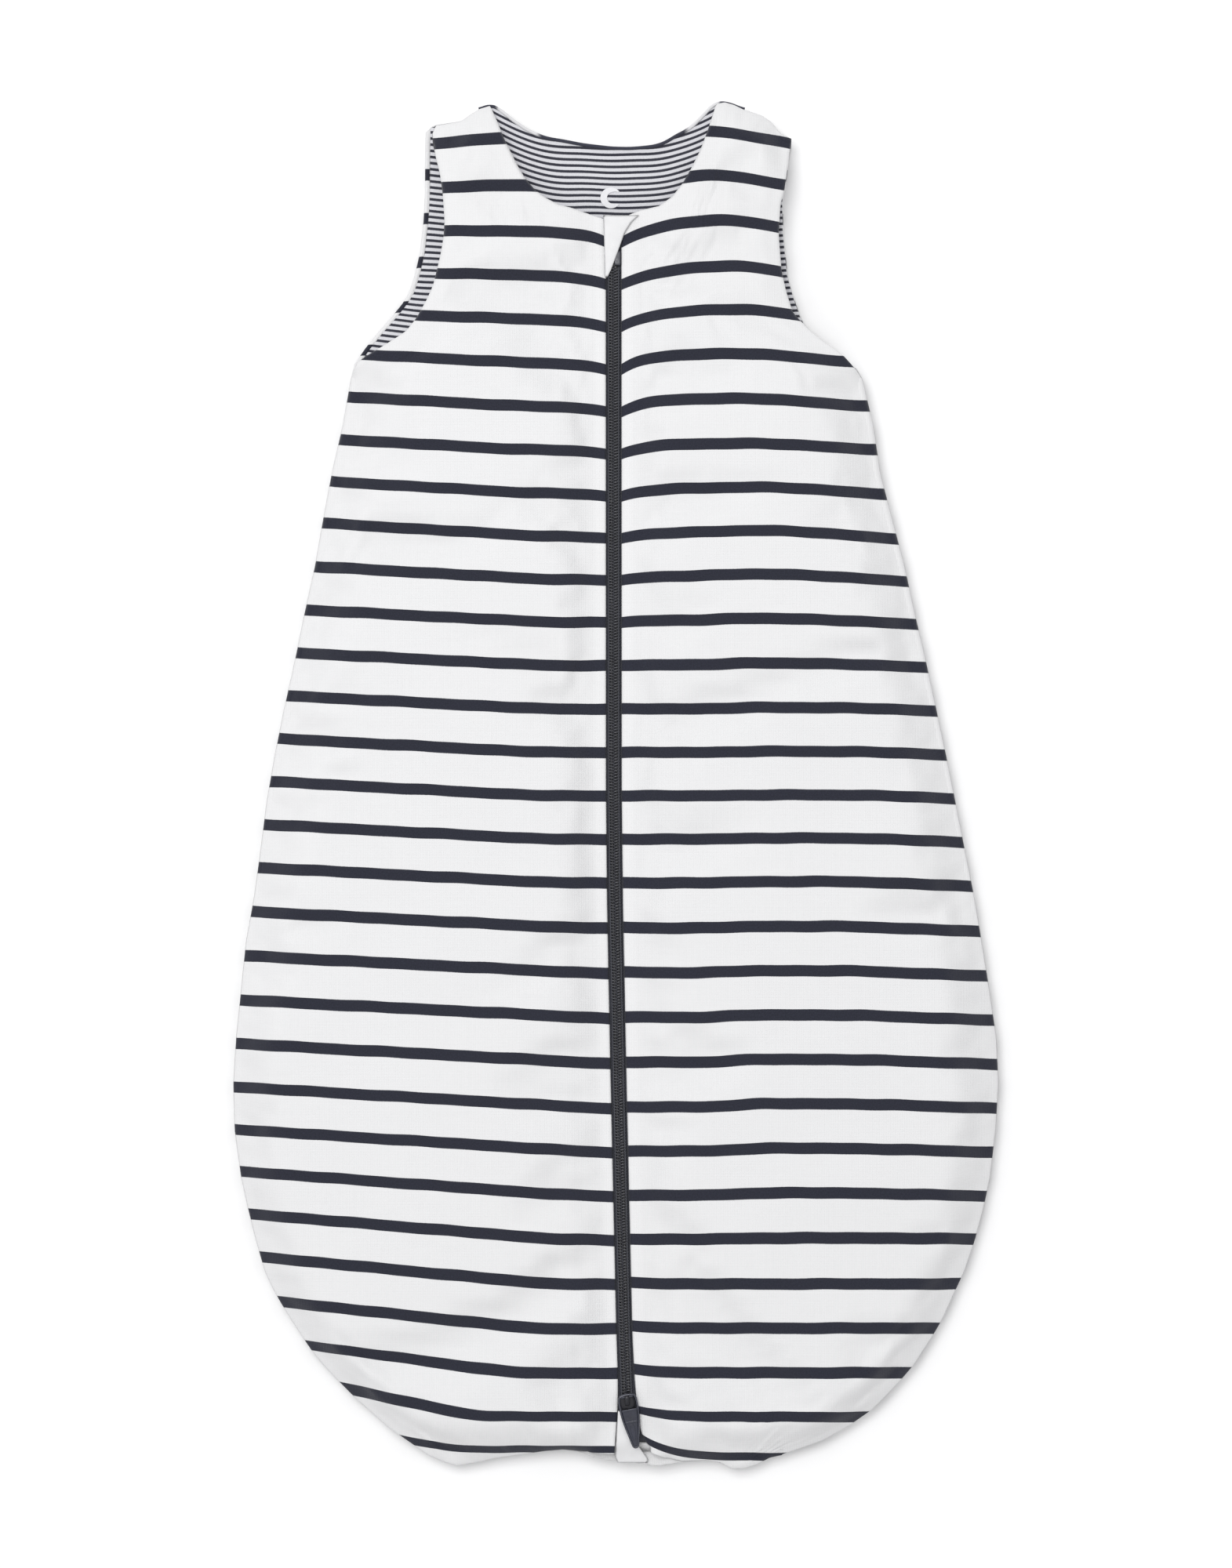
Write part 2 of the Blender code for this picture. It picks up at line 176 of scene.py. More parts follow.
def add_piece(name: str, points: Array, quads: Array,
              material: bpy.types.Material) -> bpy.types.Object:
    """Add one smooth-shaded mesh.

    Args:
        name: the piece's name.
        points: its points, in millimetres.
        quads: four point numbers for each face.
        material: its finish.

    Returns:
        The new object, at the origin.
    """
    mesh = bpy.data.meshes.new(name)
    mesh.vertices.add(len(points))
    mesh.vertices.foreach_set("co", (np.asarray(points, float) * MM).ravel())
    mesh.loops.add(quads.size)
    mesh.loops.foreach_set("vertex_index", quads.ravel().astype(np.int32))
    mesh.polygons.add(len(quads))
    mesh.polygons.foreach_set("loop_start", np.arange(0, quads.size, 4, dtype=np.int32))
    mesh.update(calc_edges=True)
    mesh.validate()
    mesh.polygons.foreach_set("use_smooth", np.ones(len(mesh.polygons), bool))
    mesh.materials.append(material)
    piece = bpy.data.objects.new(name, mesh)
    bpy.context.scene.collection.objects.link(piece)
    return piece


def lay_pattern(piece: bpy.types.Object, across: Array, up: Array, **values: Array) -> None:
    """Give a piece its cloth map, in metres, and named values at its points.

    Args:
        piece: the piece.
        across, up: place of each point across and along the cloth, in millimetres.
        values: more values for each point, by attribute name.
    """
    mesh = piece.data
    corner = np.empty(len(mesh.loops), np.int32)
    mesh.loops.foreach_get("vertex_index", corner)
    layer = mesh.uv_layers.new(name="cloth")
    flat = np.stack([across, up], axis=-1)[corner] * MM
    layer.data.foreach_set("uv", flat.astype(np.float32).ravel())
    for name, numbers in values.items():
        attribute = mesh.attributes.new(name, "FLOAT", "POINT")
        attribute.data.foreach_set("value", np.asarray(numbers, np.float32))


def points_of(piece: bpy.types.Object) -> Array:
    """Points of a piece, in millimetres."""
    points = np.empty(len(piece.data.vertices) * 3)
    piece.data.vertices.foreach_get("co", points)
    return points.reshape(-1, 3) / MM


def closed_sheet(name: str, x: Array, y: Array, top: Array, bottom: Array,
                 material: bpy.types.Material) -> bpy.types.Object:
    """Closed form between two heights on one grid, its outer ring halfway between the two.

    Args:
        name: the piece's name.
        x, y: plan of the grid.
        top, bottom: heights of its two faces.
        material: its finish.

    Returns:
        The new object, with the points of its upper face first.
    """
    rows, columns = x.shape
    inner = (rows - 2, columns - 2)
    upper = np.arange(rows * columns).reshape(rows, columns)
    lower = upper.copy()
    lower[1:-1, 1:-1] = rows * columns + np.arange(inner[0] * inner[1]).reshape(inner)
    face = (top + bottom) / 2.0
    face[1:-1, 1:-1] = top[1:-1, 1:-1]
    height = np.append(face, bottom[1:-1, 1:-1])
    points = np.stack([both_faces(x), both_faces(y), height], axis=-1)
    quads = np.concatenate([grid_quads(upper), grid_quads(lower)[:, ::-1]])
    return add_piece(name, points, quads, material)


def frames_along(path: Array) -> tuple[Array, Array]:
    """Side and upward directions along a path that doesn't run straight up.

    Args:
        path: the points of the path.

    Returns:
        Two unit vectors at each point: across the path and level, and at right angles to both.
    """
    run = np.gradient(path, axis=0)
    run /= np.linalg.norm(run, axis=1, keepdims=True)
    side = np.cross(run, (0.0, 0.0, 1.0))
    side /= np.linalg.norm(side, axis=1, keepdims=True)
    return side, np.cross(side, run)


def swept(name: str, path: Array, wide: Array | float, high: Array | float, sides: int,
          material: bpy.types.Material, ring: bool = False) -> bpy.types.Object:
    """Oval rod along a path, closed at its ends or joined into a ring.

    Args:
        name: the piece's name.
        path: the points of its middle line.
        wide, high: half width and half height of the oval, for all or for each point.
        sides: how many faces go round it.
        material: its finish.
        ring: whether the last point joins the first.

    Returns:
        The new object. Its cloth map is the plan x and y of its points.
    """
    count = len(path)
    if ring:
        longer = np.concatenate([path[-1:], path, path[:1]])
        side, lift = (part[1:-1] for part in frames_along(longer))
    else:
        side, lift = frames_along(path)
    angle = np.linspace(0.0, 2.0 * np.pi, sides, endpoint=False)
    wide = np.broadcast_to(wide, (count,))[:, None, None]
    high = np.broadcast_to(high, (count,))[:, None, None]
    out, up = np.cos(angle)[None, :, None], np.sin(angle)[None, :, None]
    rings = path[:, None] + wide * out * side[:, None] + high * up * lift[:, None]
    if not ring:
        ends = [np.repeat(end[None, None], sides, 1) for end in (path[0], path[-1])]
        rings = np.concatenate([ends[0], rings, ends[1]])
    index = wrapped_grid(len(rings), sides)
    if ring:
        index = np.concatenate([index, index[:1]])
    piece = add_piece(name, rings.reshape(-1, 3), grid_quads(index), material)
    merge_faces(piece)
    placed = points_of(piece)
    lay_pattern(piece, placed[:, 0], placed[:, 1])
    return piece


def merge_faces(piece: bpy.types.Object) -> None:
    """Drop the doubled corners of quads that meet in one point, and face all sides outwards.

    Args:
        piece: the piece, which is changed.
    """
    mesh = bmesh.new()
    mesh.from_mesh(piece.data)
    bmesh.ops.remove_doubles(mesh, verts=mesh.verts, dist=1e-7)
    bmesh.ops.recalc_face_normals(mesh, faces=mesh.faces)
    mesh.to_mesh(piece.data)
    mesh.free()


# ---------------------------------------------------------------- finishes


class Wiring:
    """Node tree of one material, wired by small calls that return sockets."""

    def __init__(self, name: str) -> None:
        """Start a material with a plain Principled shader.

        Args:
            name: the material's name.
        """
        self.material = bpy.data.materials.new(name)
        self.material.use_nodes = True
        self.nodes = self.material.node_tree.nodes
        self.links = self.material.node_tree.links
        self.shader = self.nodes["Principled BSDF"]

    def set(self, **values: float | tuple[float, ...]) -> None:
        """Set plain values on the shader's own sockets, with _ for each space in a name."""
        for name, value in values.items():
            self.shader.inputs[name.replace("_", " ")].default_value = value

    def join(self, source: bpy.types.NodeSocket, name: str) -> None:
        """Join a socket to one of the shader's inputs."""
        self.links.new(source, self.shader.inputs[name])

    def feed(self, node: bpy.types.Node, inputs: tuple) -> None:
        """Give a node its inputs in order: numbers or vectors are set and sockets joined.

        Args:
            node: the node.
            inputs: a number, vector or socket for each input, or None to leave one.
        """
        for socket, value in zip(node.inputs, inputs):
            if isinstance(value, bpy.types.NodeSocket):
                self.links.new(value, socket)
            elif value is not None:
                socket.default_value = value

    def math(self, operation: str, *inputs: float | bpy.types.NodeSocket) -> bpy.types.NodeSocket:
        """Result of one Math node.

        Args:
            operation: what the node does.
            inputs: its numbers and sockets, in order.

        Returns:
            The node's result.
        """
        node = self.nodes.new("ShaderNodeMath")
        node.operation = operation
        self.feed(node, inputs)
        return node.outputs[0]

    def swayed(self, tone: float | bpy.types.NodeSocket, wave: bpy.types.NodeSocket,
               amount: float) -> bpy.types.NodeSocket:
        """Tone raised or lowered by an amount of a wave that swings about one half."""
        return self.math("MULTIPLY_ADD", self.math("SUBTRACT", wave, 0.5), amount, tone)

    def scaled(self, vector: bpy.types.NodeSocket,
               by: tuple[float, float, float]) -> bpy.types.NodeSocket:
        """Vector multiplied part by part.

        Args:
            vector: the vector.
            by: a factor for each part.

        Returns:
            The product.
        """
        node = self.nodes.new("ShaderNodeVectorMath")
        node.operation = "MULTIPLY"
        self.feed(node, (vector, by))
        return node.outputs[0]

    def cloth_map(self) -> bpy.types.NodeSocket:
        """The piece's own cloth map, in metres across and along the cloth."""
        node = self.nodes.new("ShaderNodeUVMap")
        node.uv_map = "cloth"
        return node.outputs[0]

    def place(self) -> bpy.types.NodeSocket:
        """Place on the object, in metres."""
        return self.nodes.new("ShaderNodeTexCoord").outputs["Object"]

    def parts(self, vector: bpy.types.NodeSocket) -> tuple[bpy.types.NodeSocket, ...]:
        """X, Y and Z of a vector."""
        node = self.nodes.new("ShaderNodeSeparateXYZ")
        self.feed(node, (vector,))
        return tuple(node.outputs)

    def value(self, name: str) -> bpy.types.NodeSocket:
        """A named value that the mesh holds at its points."""
        node = self.nodes.new("ShaderNodeAttribute")
        node.attribute_name = name
        return node.outputs["Fac"]

    def noise(self, vector: bpy.types.NodeSocket, detail: float = 2.0) -> bpy.types.NodeSocket:
        """Noise of scale 1 at a vector that is scaled already, from 0 to 1.

        Args:
            vector: the scaled vector.
            detail: octaves of the noise.

        Returns:
            The noise.
        """
        node = self.nodes.new("ShaderNodeTexNoise")
        node.inputs["Scale"].default_value = 1.0
        node.inputs["Detail"].default_value = detail
        self.links.new(vector, node.inputs["Vector"])
        return node.outputs["Fac"]

    def span(self, value: bpy.types.NodeSocket, low: float, high: float, to_low: float,
             to_high: float, soft: bool = False) -> bpy.types.NodeSocket:
        """Value stretched from one range to another and held there.

        Args:
            value: the value.
            low, high: the range it comes from.
            to_low, to_high: the range it is stretched to.
            soft: whether it eases in and out.

        Returns:
            The stretched value.
        """
        node = self.nodes.new("ShaderNodeMapRange")
        node.interpolation_type = "SMOOTHSTEP" if soft else "LINEAR"
        self.feed(node, (value, low, high, to_low, to_high))
        return node.outputs[0]

    def blend(self, part: bpy.types.NodeSocket | float, first: object, second: object,
              kind: str = "MIX") -> bpy.types.NodeSocket:
        """Colour between two colours.

        Args:
            part: part of the second colour, from 0 to 1.
            first, second: the colours, each a tuple or a socket.
            kind: how the node blends them.

        Returns:
            The blended colour.
        """
        node = self.nodes.new("ShaderNodeMix")
        node.data_type = "RGBA"
        node.blend_type = kind
        colours = {0: part, 6: first, 7: second}
        for number, value in colours.items():
            socket = node.inputs[number]
            if isinstance(value, bpy.types.NodeSocket):
                self.links.new(value, socket)
            else:
                socket.default_value = value if isinstance(value, float) else (*value, 1.0)
        return node.outputs[2]

    def grey(self, value: bpy.types.NodeSocket) -> bpy.types.NodeSocket:
        """Grey colour of the given brightness."""
        node = self.nodes.new("ShaderNodeCombineColor")
        for socket in node.inputs:
            self.links.new(value, socket)
        return node.outputs[0]

    def paint(self, colour: object, tone: bpy.types.NodeSocket) -> None:
        """Give the shader a colour, lightened and darkened by a tone about 1."""
        self.join(self.blend(1.0, colour, self.grey(tone), "MULTIPLY"), "Base Color")

    def relief(self, height: bpy.types.NodeSocket, depth_mm: float, strength: float) -> None:
        """Bump the shader's surface.

        Args:
            height: the relief, from 0 to 1.
            depth_mm: its depth in millimetres.
            strength: the part of it that shows.
        """
        node = self.nodes.new("ShaderNodeBump")
        node.inputs["Strength"].default_value = strength
        node.inputs["Distance"].default_value = depth_mm * MM
        self.links.new(height, node.inputs["Height"])
        self.links.new(node.outputs[0], self.shader.inputs["Normal"])


@dataclass(frozen=True)
class KnitCloth:
    """Single jersey: columns of V stitches, with rows knitted in a second colour.

    The number of the nearest coloured row is the mesh's own "stripe" value, whole at its middle.
    Stitch sizes are millimetres. The scales of the yarn's unevenness are waves per metre across
    and along the cloth.
    """

    name: str
    ground: tuple[float, float, float]
    stripe: tuple[float, float, float]
    stripe_part: float
    edge_part: float = 0.008
    wale: float = 0.9
    course: float = 0.75
    slub: float = 0.05
    depth: float = 0.16
    # Painted light: how much lighter the knit is painted on the flat band beside the zip.
    backed_lift: float = 0.035
    ragged_scale: tuple[float, float, float] = (1500.0, 1100.0, 1.0)
    slub_scale: tuple[float, float, float] = (55.0, 1300.0, 1.0)
    rib_scale: tuple[float, float, float] = (900.0, 35.0, 1.0)
    cloud_scale: tuple[float, float, float] = (22.0, 22.0, 1.0)
    fuzz_scale: tuple[float, float, float] = (2600.0, 2600.0, 1.0)

    def stitches(self, wiring: Wiring, across: bpy.types.NodeSocket,
                 up: bpy.types.NodeSocket) -> bpy.types.NodeSocket:
        """Height of the knit: each wale is a round column, crossed by Vs that lean out from it.

        Args:
            wiring: the material's nodes.
            across, up: place on the cloth, in metres.

        Returns:
            The height, from 0 to 1.
        """
        turn = wiring.math("FRACT", wiring.math("DIVIDE", across, self.wale * MM))
        aside = wiring.math("ABSOLUTE", wiring.math("SUBTRACT", turn, 0.5))
        lean = wiring.math("MULTIPLY", aside, 2.0)
        column = wiring.math("SUBTRACT", 1.0, wiring.math("MULTIPLY", lean, lean))
        rows = wiring.math("DIVIDE", up, self.course * MM)
        leaning = wiring.math("MULTIPLY_ADD", lean, -0.55, rows)
        wave = wiring.math("COSINE", wiring.math("MULTIPLY", leaning, 2.0 * np.pi))
        return wiring.math("MULTIPLY_ADD", wave, 0.28, wiring.math("MULTIPLY", column, 0.72))

    def make(self) -> bpy.types.Material:
        """The material: slubbed yarn in two colours over the stitches' relief."""
        wiring = Wiring(self.name)
        cloth = wiring.cloth_map()
        across, up, _ = wiring.parts(cloth)
        height = self.stitches(wiring, across, up)
        number = wiring.value("stripe")
        ragged = wiring.noise(wiring.scaled(cloth, self.ragged_scale), 1.0)
        number = wiring.swayed(number, ragged, self.edge_part)
        off = wiring.math("SUBTRACT", wiring.math("FRACT", wiring.math("ADD", number, 0.5)), 0.5)
        off = wiring.math("ABSOLUTE", off)
        half = self.stripe_part / 2.0
        dark = wiring.span(off, half - self.edge_part, half + self.edge_part, 1.0, 0.0, soft=True)
        slubs = wiring.noise(wiring.scaled(cloth, self.slub_scale), 3.0)
        ribs = wiring.noise(wiring.scaled(cloth, self.rib_scale))
        clouds = wiring.noise(wiring.scaled(cloth, self.cloud_scale))
        tone = wiring.swayed(1.0, slubs, self.slub)
        tone = wiring.swayed(tone, ribs, self.slub * 0.6)
        tone = wiring.swayed(tone, clouds, self.slub * 0.5)
        # Painted shade: the colour follows the stitch relief, darker in the hollows between
        # stitches.
        tone = wiring.swayed(tone, height, 0.05)
        # Painted light: lightens the colour on the flat band beside the zip, as if it caught more
        # light.
        tone = wiring.math("MULTIPLY_ADD", wiring.value("backed"), self.backed_lift, tone)
        heather = wiring.span(ragged, 0.3, 0.8, 0.85, 1.25)
        navy = wiring.blend(1.0, self.stripe, wiring.grey(heather), "MULTIPLY")
        wiring.paint(wiring.blend(dark, self.ground, navy), tone)
        fuzz = wiring.noise(wiring.scaled(cloth, self.fuzz_scale))
        wiring.relief(wiring.math("MULTIPLY_ADD", fuzz, 0.35, height), self.depth, 0.7)
        wiring.set(Roughness=0.92, Sheen_Weight=0.12, Sheen_Roughness=0.5, Specular_IOR_Level=0.25)
        return wiring.material


@dataclass(frozen=True)
class WovenCloth:
    """Plain or twill weave of one colour, or of two where the mesh has a "mark" value.

    The thread and the depth are millimetres, and the scale of the wear is waves per metre.
    """

    name: str
    colour: tuple[float, float, float]
    thread: float = 0.45
    twill: float = 0.0
    depth: float = 0.12
    roughness: float = 0.85
    variation: float = 0.12
    marked: tuple[float, float, float] | None = None
    wear_scale: tuple[float, float, float] = (260.0, 260.0, 1.0)

    def make(self) -> bpy.types.Material:
        """The material: warp and weft as crossed waves, shifted by the twill from row to row."""
        wiring = Wiring(self.name)
        cloth = wiring.cloth_map()
        across, up, _ = wiring.parts(cloth)
        warp = wiring.math("DIVIDE", across, self.thread * MM)
        weft = wiring.math("DIVIDE", up, self.thread * MM)
        shifted = wiring.math("MULTIPLY_ADD", weft, self.twill, warp)
        first = wiring.math("SINE", wiring.math("MULTIPLY", shifted, 2.0 * np.pi))
        second = wiring.math("SINE", wiring.math("MULTIPLY", weft, 2.0 * np.pi))
        weave = wiring.math("MULTIPLY_ADD", wiring.math("MULTIPLY", first, second), 0.5, 0.5)
        worn = wiring.noise(wiring.scaled(cloth, self.wear_scale), 3.0)
        # Painted shade: besides the random tone, the colour follows the weave relief, darker where
        # the threads dip.
        tone = wiring.swayed(wiring.swayed(1.0, worn, self.variation), weave, self.variation)
        colour = self.colour
        if self.marked:
            colour = wiring.blend(wiring.value("mark"), self.colour, self.marked)
        wiring.paint(colour, tone)
        wiring.relief(weave, self.depth, 0.8)
        wiring.set(Roughness=self.roughness, Sheen_Weight=0.1, Specular_IOR_Level=0.3)
        return wiring.material


@dataclass(frozen=True)
class HardFinish:
    """Moulded nylon or lacquered metal, slightly uneven; grain and cloud are waves per metre."""

    name: str
    colour: tuple[float, float, float]
    roughness: float
    metallic: float = 0.0
    coat: float = 0.0
    grain: float = 900.0
    cloud: float = 150.0
    depth: float = 0.03

    def make(self) -> bpy.types.Material:
        """The material: one colour with slight clouds, and a roughness that varies with them."""
        wiring = Wiring(self.name)
        place = wiring.place()
        grain = wiring.noise(wiring.scaled(place, (self.grain,) * 3), 3.0)
        cloud = wiring.noise(wiring.scaled(place, (self.cloud,) * 3))
        wiring.paint(self.colour, wiring.span(cloud, 0.3, 0.7, 0.8, 1.25))
        rough = wiring.span(grain, 0.3, 0.7, self.roughness * 0.8, self.roughness * 1.3)
        wiring.join(rough, "Roughness")
        wiring.relief(grain, self.depth, 0.6)
        wiring.set(Metallic=self.metallic, Coat_Weight=self.coat, Coat_Roughness=0.12)
        return wiring.material


class Finishes:
    """The finishes of the bag, each made once."""

    def __init__(self) -> None:
        """Make every material."""
        self.striped = KnitCloth(
            "striped_knit", (0.69, 0.69, 0.694), (0.0185, 0.020, 0.031), stripe_part=0.262).make()
        self.lining = KnitCloth(
            "lining_knit", (0.62, 0.62, 0.65), (0.030, 0.031, 0.043), stripe_part=0.46,
            edge_part=0.06, wale=0.8, course=0.65).make()
        self.trim = WovenCloth(
            "trim_cloth", (0.70, 0.70, 0.706), thread=0.6, twill=0.3, variation=0.09).make()
        self.binding = WovenCloth(
            "neck_trim", (0.66, 0.66, 0.67), variation=0.06, marked=(0.035, 0.037, 0.055)).make()
        self.tape = WovenCloth("zip_tape", (0.040, 0.042, 0.053), thread=0.5, twill=0.5).make()
        self.thread = WovenCloth(
            "sewing_thread", (0.07, 0.073, 0.087), thread=0.3, twill=1.0).make()
        self.nylon = HardFinish(
            "coil_nylon", (0.028, 0.029, 0.036), roughness=0.32, coat=0.25).make()
        self.metal = HardFinish(
            "zip_metal", (0.017, 0.019, 0.033), roughness=0.28, metallic=0.2, coat=0.5).make()
        self.cast = HardFinish(
            "slider_metal", (0.008, 0.008, 0.012), roughness=0.4, metallic=0.2).make()
        # Painted highlight: a lighter, more metallic finish for the ring inside the puller's rim,
        # standing for the light along its raised rim.
        self.edge = HardFinish(
            "puller_edge", (0.13, 0.135, 0.16), roughness=0.25, metallic=0.8, coat=0.3).make()
        self.plastic = HardFinish("pin_plastic", (0.030, 0.032, 0.042), roughness=0.35).make()
        self.print = WovenCloth(
            "neck_print", (0.72, 0.72, 0.74), thread=0.7, variation=0.08, roughness=0.6).make()


# ---------------------------------------------------------------- the bag's form


@dataclass(frozen=True)
class BagShape:
    """Outlines of the bag in plan, its zip and fold lines, and the heights of its layers.

    Side outlines and gaps are pairs of y and x, foot and neck outlines are pairs of x and y, and
    the zip and the folds are straight lines from one (x, y, z) to another. The zip's bow gives the
    x of its middle at each y.
    """

    foot_y: float = -349.0
    armhole_y: float = 216.0
    seam_top_y: float = 208.0
    seam_lift: float = 6.0
    foot_lift: float = 2.6
    shoulder_lift: float = 8.0
    seam_fade: float = 30.0
    top_part: float = 0.29
    cloth: float = 0.8
    gap: float = 0.3
    fill_full: float = 8.0
    fill_edge: float = 1.0
    cavity: float = 10.6
    front_limit: float = 25.5
    zip_line: Points = ((-1.5, 290.0, 20.0), (6.2, -345.0, 15.0))
    zip_bow: Points = (
        (-345.0, 6.2), (-314.0, 5.7), (-277.0, 4.4), (-150.0, 1.5), (-60.0, -0.3), (0.0, -0.9),
        (290.0, -1.0),
    )
    left_fold: Points = ((-63.5, 347.0, 21.0), (-6.8, -345.0, 18.0))
    right_fold: Points = ((52.5, 348.0, 21.0), (19.2, -345.0, 18.0))
    left_edge: Points = (
        (-344.4, -94.2), (-337, -105), (-329, -116.5), (-321, -125.5), (-313, -134.5),
        (-305, -142.5), (-297, -150), (-289, -156.5), (-281, -161.8), (-273, -167), (-265, -172),
        (-257, -176.3), (-249, -180), (-233, -184.5), (-217, -188.5), (-201, -192), (-177, -195.3),
        (-153, -196), (-129, -194.5), (-105, -192), (-81, -189.6), (-57, -185.3), (-33, -182),
        (-9, -179), (15, -174.8), (39, -170), (64, -164.4), (88, -159.5), (112, -154.2),
        (136, -150), (160, -145.5), (184, -140), (208, -135.8), (216, -134), (224, -128.6),
        (231, -123.2), (240, -115.5), (247, -109.8), (253, -106.2), (263, -103), (273, -100.7),
        (289, -98.8), (305, -98), (321, -97.8), (334, -97.3),
    )
    right_edge: Points = (
        (-343.6, 85.3), (-337, 105), (-329, 119.5), (-321, 131), (-313, 139), (-305, 146.5),
        (-297, 153.3), (-289, 158.3), (-281, 163.5), (-273, 168), (-265, 171.6), (-257, 175.2),
        (-249, 179), (-233, 184.3), (-217, 188.6), (-201, 192), (-177, 194.8), (-153, 196.3),
        (-129, 195.1), (-105, 191.6), (-81, 187.8), (-57, 183.8), (-33, 179), (-9, 174.3),
        (15, 169.5), (39, 164.4), (64, 159), (88, 153.4), (112, 148.2), (136, 141.9), (160, 135.7),
        (184, 132.2), (208, 126.6), (214, 123.4), (221, 112), (228, 103.6), (234, 98.6), (241, 95),
        (250, 92), (263, 88.4), (285, 86.2), (301, 86), (314, 88), (330, 90),
    )
    left_armhole: Points = (
        (208, -135.8), (216, -132), (224, -118), (231, -107), (238, -101.5), (247, -96.5),
        (255, -92.8), (267, -89.5), (276, -87.8), (284, -87.2), (296, -88), (307, -89.5),
        (317, -92), (326, -93.4), (333, -94),
    )
    right_armhole: Points = (
        (208, 126.6), (213, 122.6), (220, 115), (227, 105), (233, 98), (241, 90.5), (252, 87),
        (263, 84.6), (280, 83.2), (296, 84.2), (303, 86), (324, 89), (331, 90),
    )
    back_foot: Points = (
        (-94.2, -344.4), (-87.8, -347.2), (-81.3, -349.2), (-74.9, -348), (-68.5, -346.8),
        (-62, -345.2), (-49, -343.2), (-36.5, -341.3), (-27, -340.4), (-20, -341.2), (-11, -344.4),
        (-4.4, -345.6), (8.4, -346.8), (21, -348.8), (34, -346.8), (46.9, -346), (53.3, -347.2),
        (59.7, -350.6), (66, -350.4), (72.5, -348.4), (78.9, -345), (85.3, -343.6),
    )
    left_foot: Points = (
        (-94.2, -344.4), (-87.8, -347.2), (-81.3, -349.2), (-74.9, -348), (-68.5, -346.8),
        (-62, -345.2), (-49, -343.2), (-36.5, -341.3), (-27, -340.4), (-17, -341.2), (-6, -341.7),
        (-0.5, -341.8),
    )
    right_foot: Points = (
        (17.7, -341), (21.2, -342.6), (26, -344.4), (34, -346.4), (46.9, -346), (53.3, -347.2),
        (59.7, -350.6), (66, -350.4), (72.5, -348.4), (78.9, -345), (85.3, -343.6),
    )
    back_neck: Points = (
        (-97.3, 334), (-93.4, 337.6), (-79, 339.6), (-74, 343.2), (-69.3, 346), (-64.5, 348),
        (-59.7, 346.4), (-54.9, 342), (-45.3, 335.4), (-36, 331.6), (-26, 330), (-16.4, 328.2),
        (-2, 326.6), (7.6, 326.4), (17.2, 327.2), (22, 328), (26.8, 330), (31.7, 333.2),
        (36.5, 335.2), (41.3, 339), (46.1, 344), (50.9, 349.4), (55.7, 349.4), (60.5, 348),
        (65.3, 345.6), (70, 344), (75, 342.4), (79.7, 339.2), (84.5, 333.6), (90, 330),
    )
    front_neck: Points = (
        (-94, 333), (-92, 337.6), (-79, 339.6), (-74, 343.2), (-69.3, 346), (-64.1, 347.6),
        (-60.9, 340), (-57.4, 330.8), (-54.1, 324), (-50.1, 316), (-46.1, 309.3), (-40.9, 303.3),
        (-35.4, 299.2), (-28.9, 295.9), (-20.8, 293.9), (-12.8, 290.6), (-4.9, 288.2),
        (2.9, 288.4), (8, 291), (14.7, 293.6), (22, 295.2), (28.7, 299.9), (34.1, 306.7),
        (38.7, 314.7), (43.3, 324), (47.3, 334.8), (49.3, 341.3), (51.3, 348.4), (55.7, 349.4),
        (60.5, 348), (65.3, 345.6), (70, 344), (75, 342.4), (79.7, 339.2), (84.5, 333.6),
        (90, 331),
    )
    left_gap: Points = (
        (-341.8, 6.6), (-333, 5.6), (-321, 4.7), (-313, 4.4), (-300, 4.05), (-260, 3.95),
        (290, 3.9),
    )
    right_gap: Points = (
        (-341, 11.6), (-339, 9.6), (-333, 6.8), (-327, 5.7), (-321, 5.0), (-305, 4.3), (-285, 4.0),
        (290, 3.9),
    )

    @property
    def covers(self) -> float:
        """Thickness of the shell, the lining and the gaps beside the wadding."""
        return 2.0 * (self.cloth + self.gap)

    def fold(self, side: Side) -> Points:
        """Fold line of the flap on one side of the zip."""
        return self.left_fold if side is Side.LEFT else self.right_fold

    def zip_x(self, y: Array) -> Array:
        """X of the middle of the zip."""
        return along(self.zip_bow, y)

    def line_x(self, line: Points, y: Array) -> Array:
        """X of a straight (x, y, z) line at y."""
        (x0, y0, _), (x1, y1, _) = line
        return x0 + (y - y0) * (x1 - x0) / (y1 - y0)

    def line_z(self, line: Points, y: Array) -> Array:
        """Height of a straight (x, y, z) line at y."""
        (_, y0, z0), (_, y1, z1) = line
        return z0 + (y - y0) * (z1 - z0) / (y1 - y0)

    def tape_z(self, y: Array) -> Array:
        """Height of the underside of the zip's tape."""
        return self.line_z(self.zip_line, y)

    def side_distance(self, x: Array, y: Array) -> Array:
        """Distance in x to the nearer outer edge of the bag."""
        return np.minimum(x - along(self.left_edge, y), along(self.right_edge, y) - x)

    def shoulder_distance(self, x: Array, y: Array) -> Array:
        """Distance to the nearer shoulder seam.

        Args:
            x, y: the points.

        Returns:
            The distance of each point.
        """
        left_seam, right_seam = along(self.front_neck[:6], x), along(self.front_neck[-8:], x)
        left = np.hypot(np.maximum(x - self.left_fold[0][0], 0.0), left_seam - y)
        right = np.hypot(np.maximum(self.right_fold[0][0] - x, 0.0), right_seam - y)
        return np.minimum(left, right)

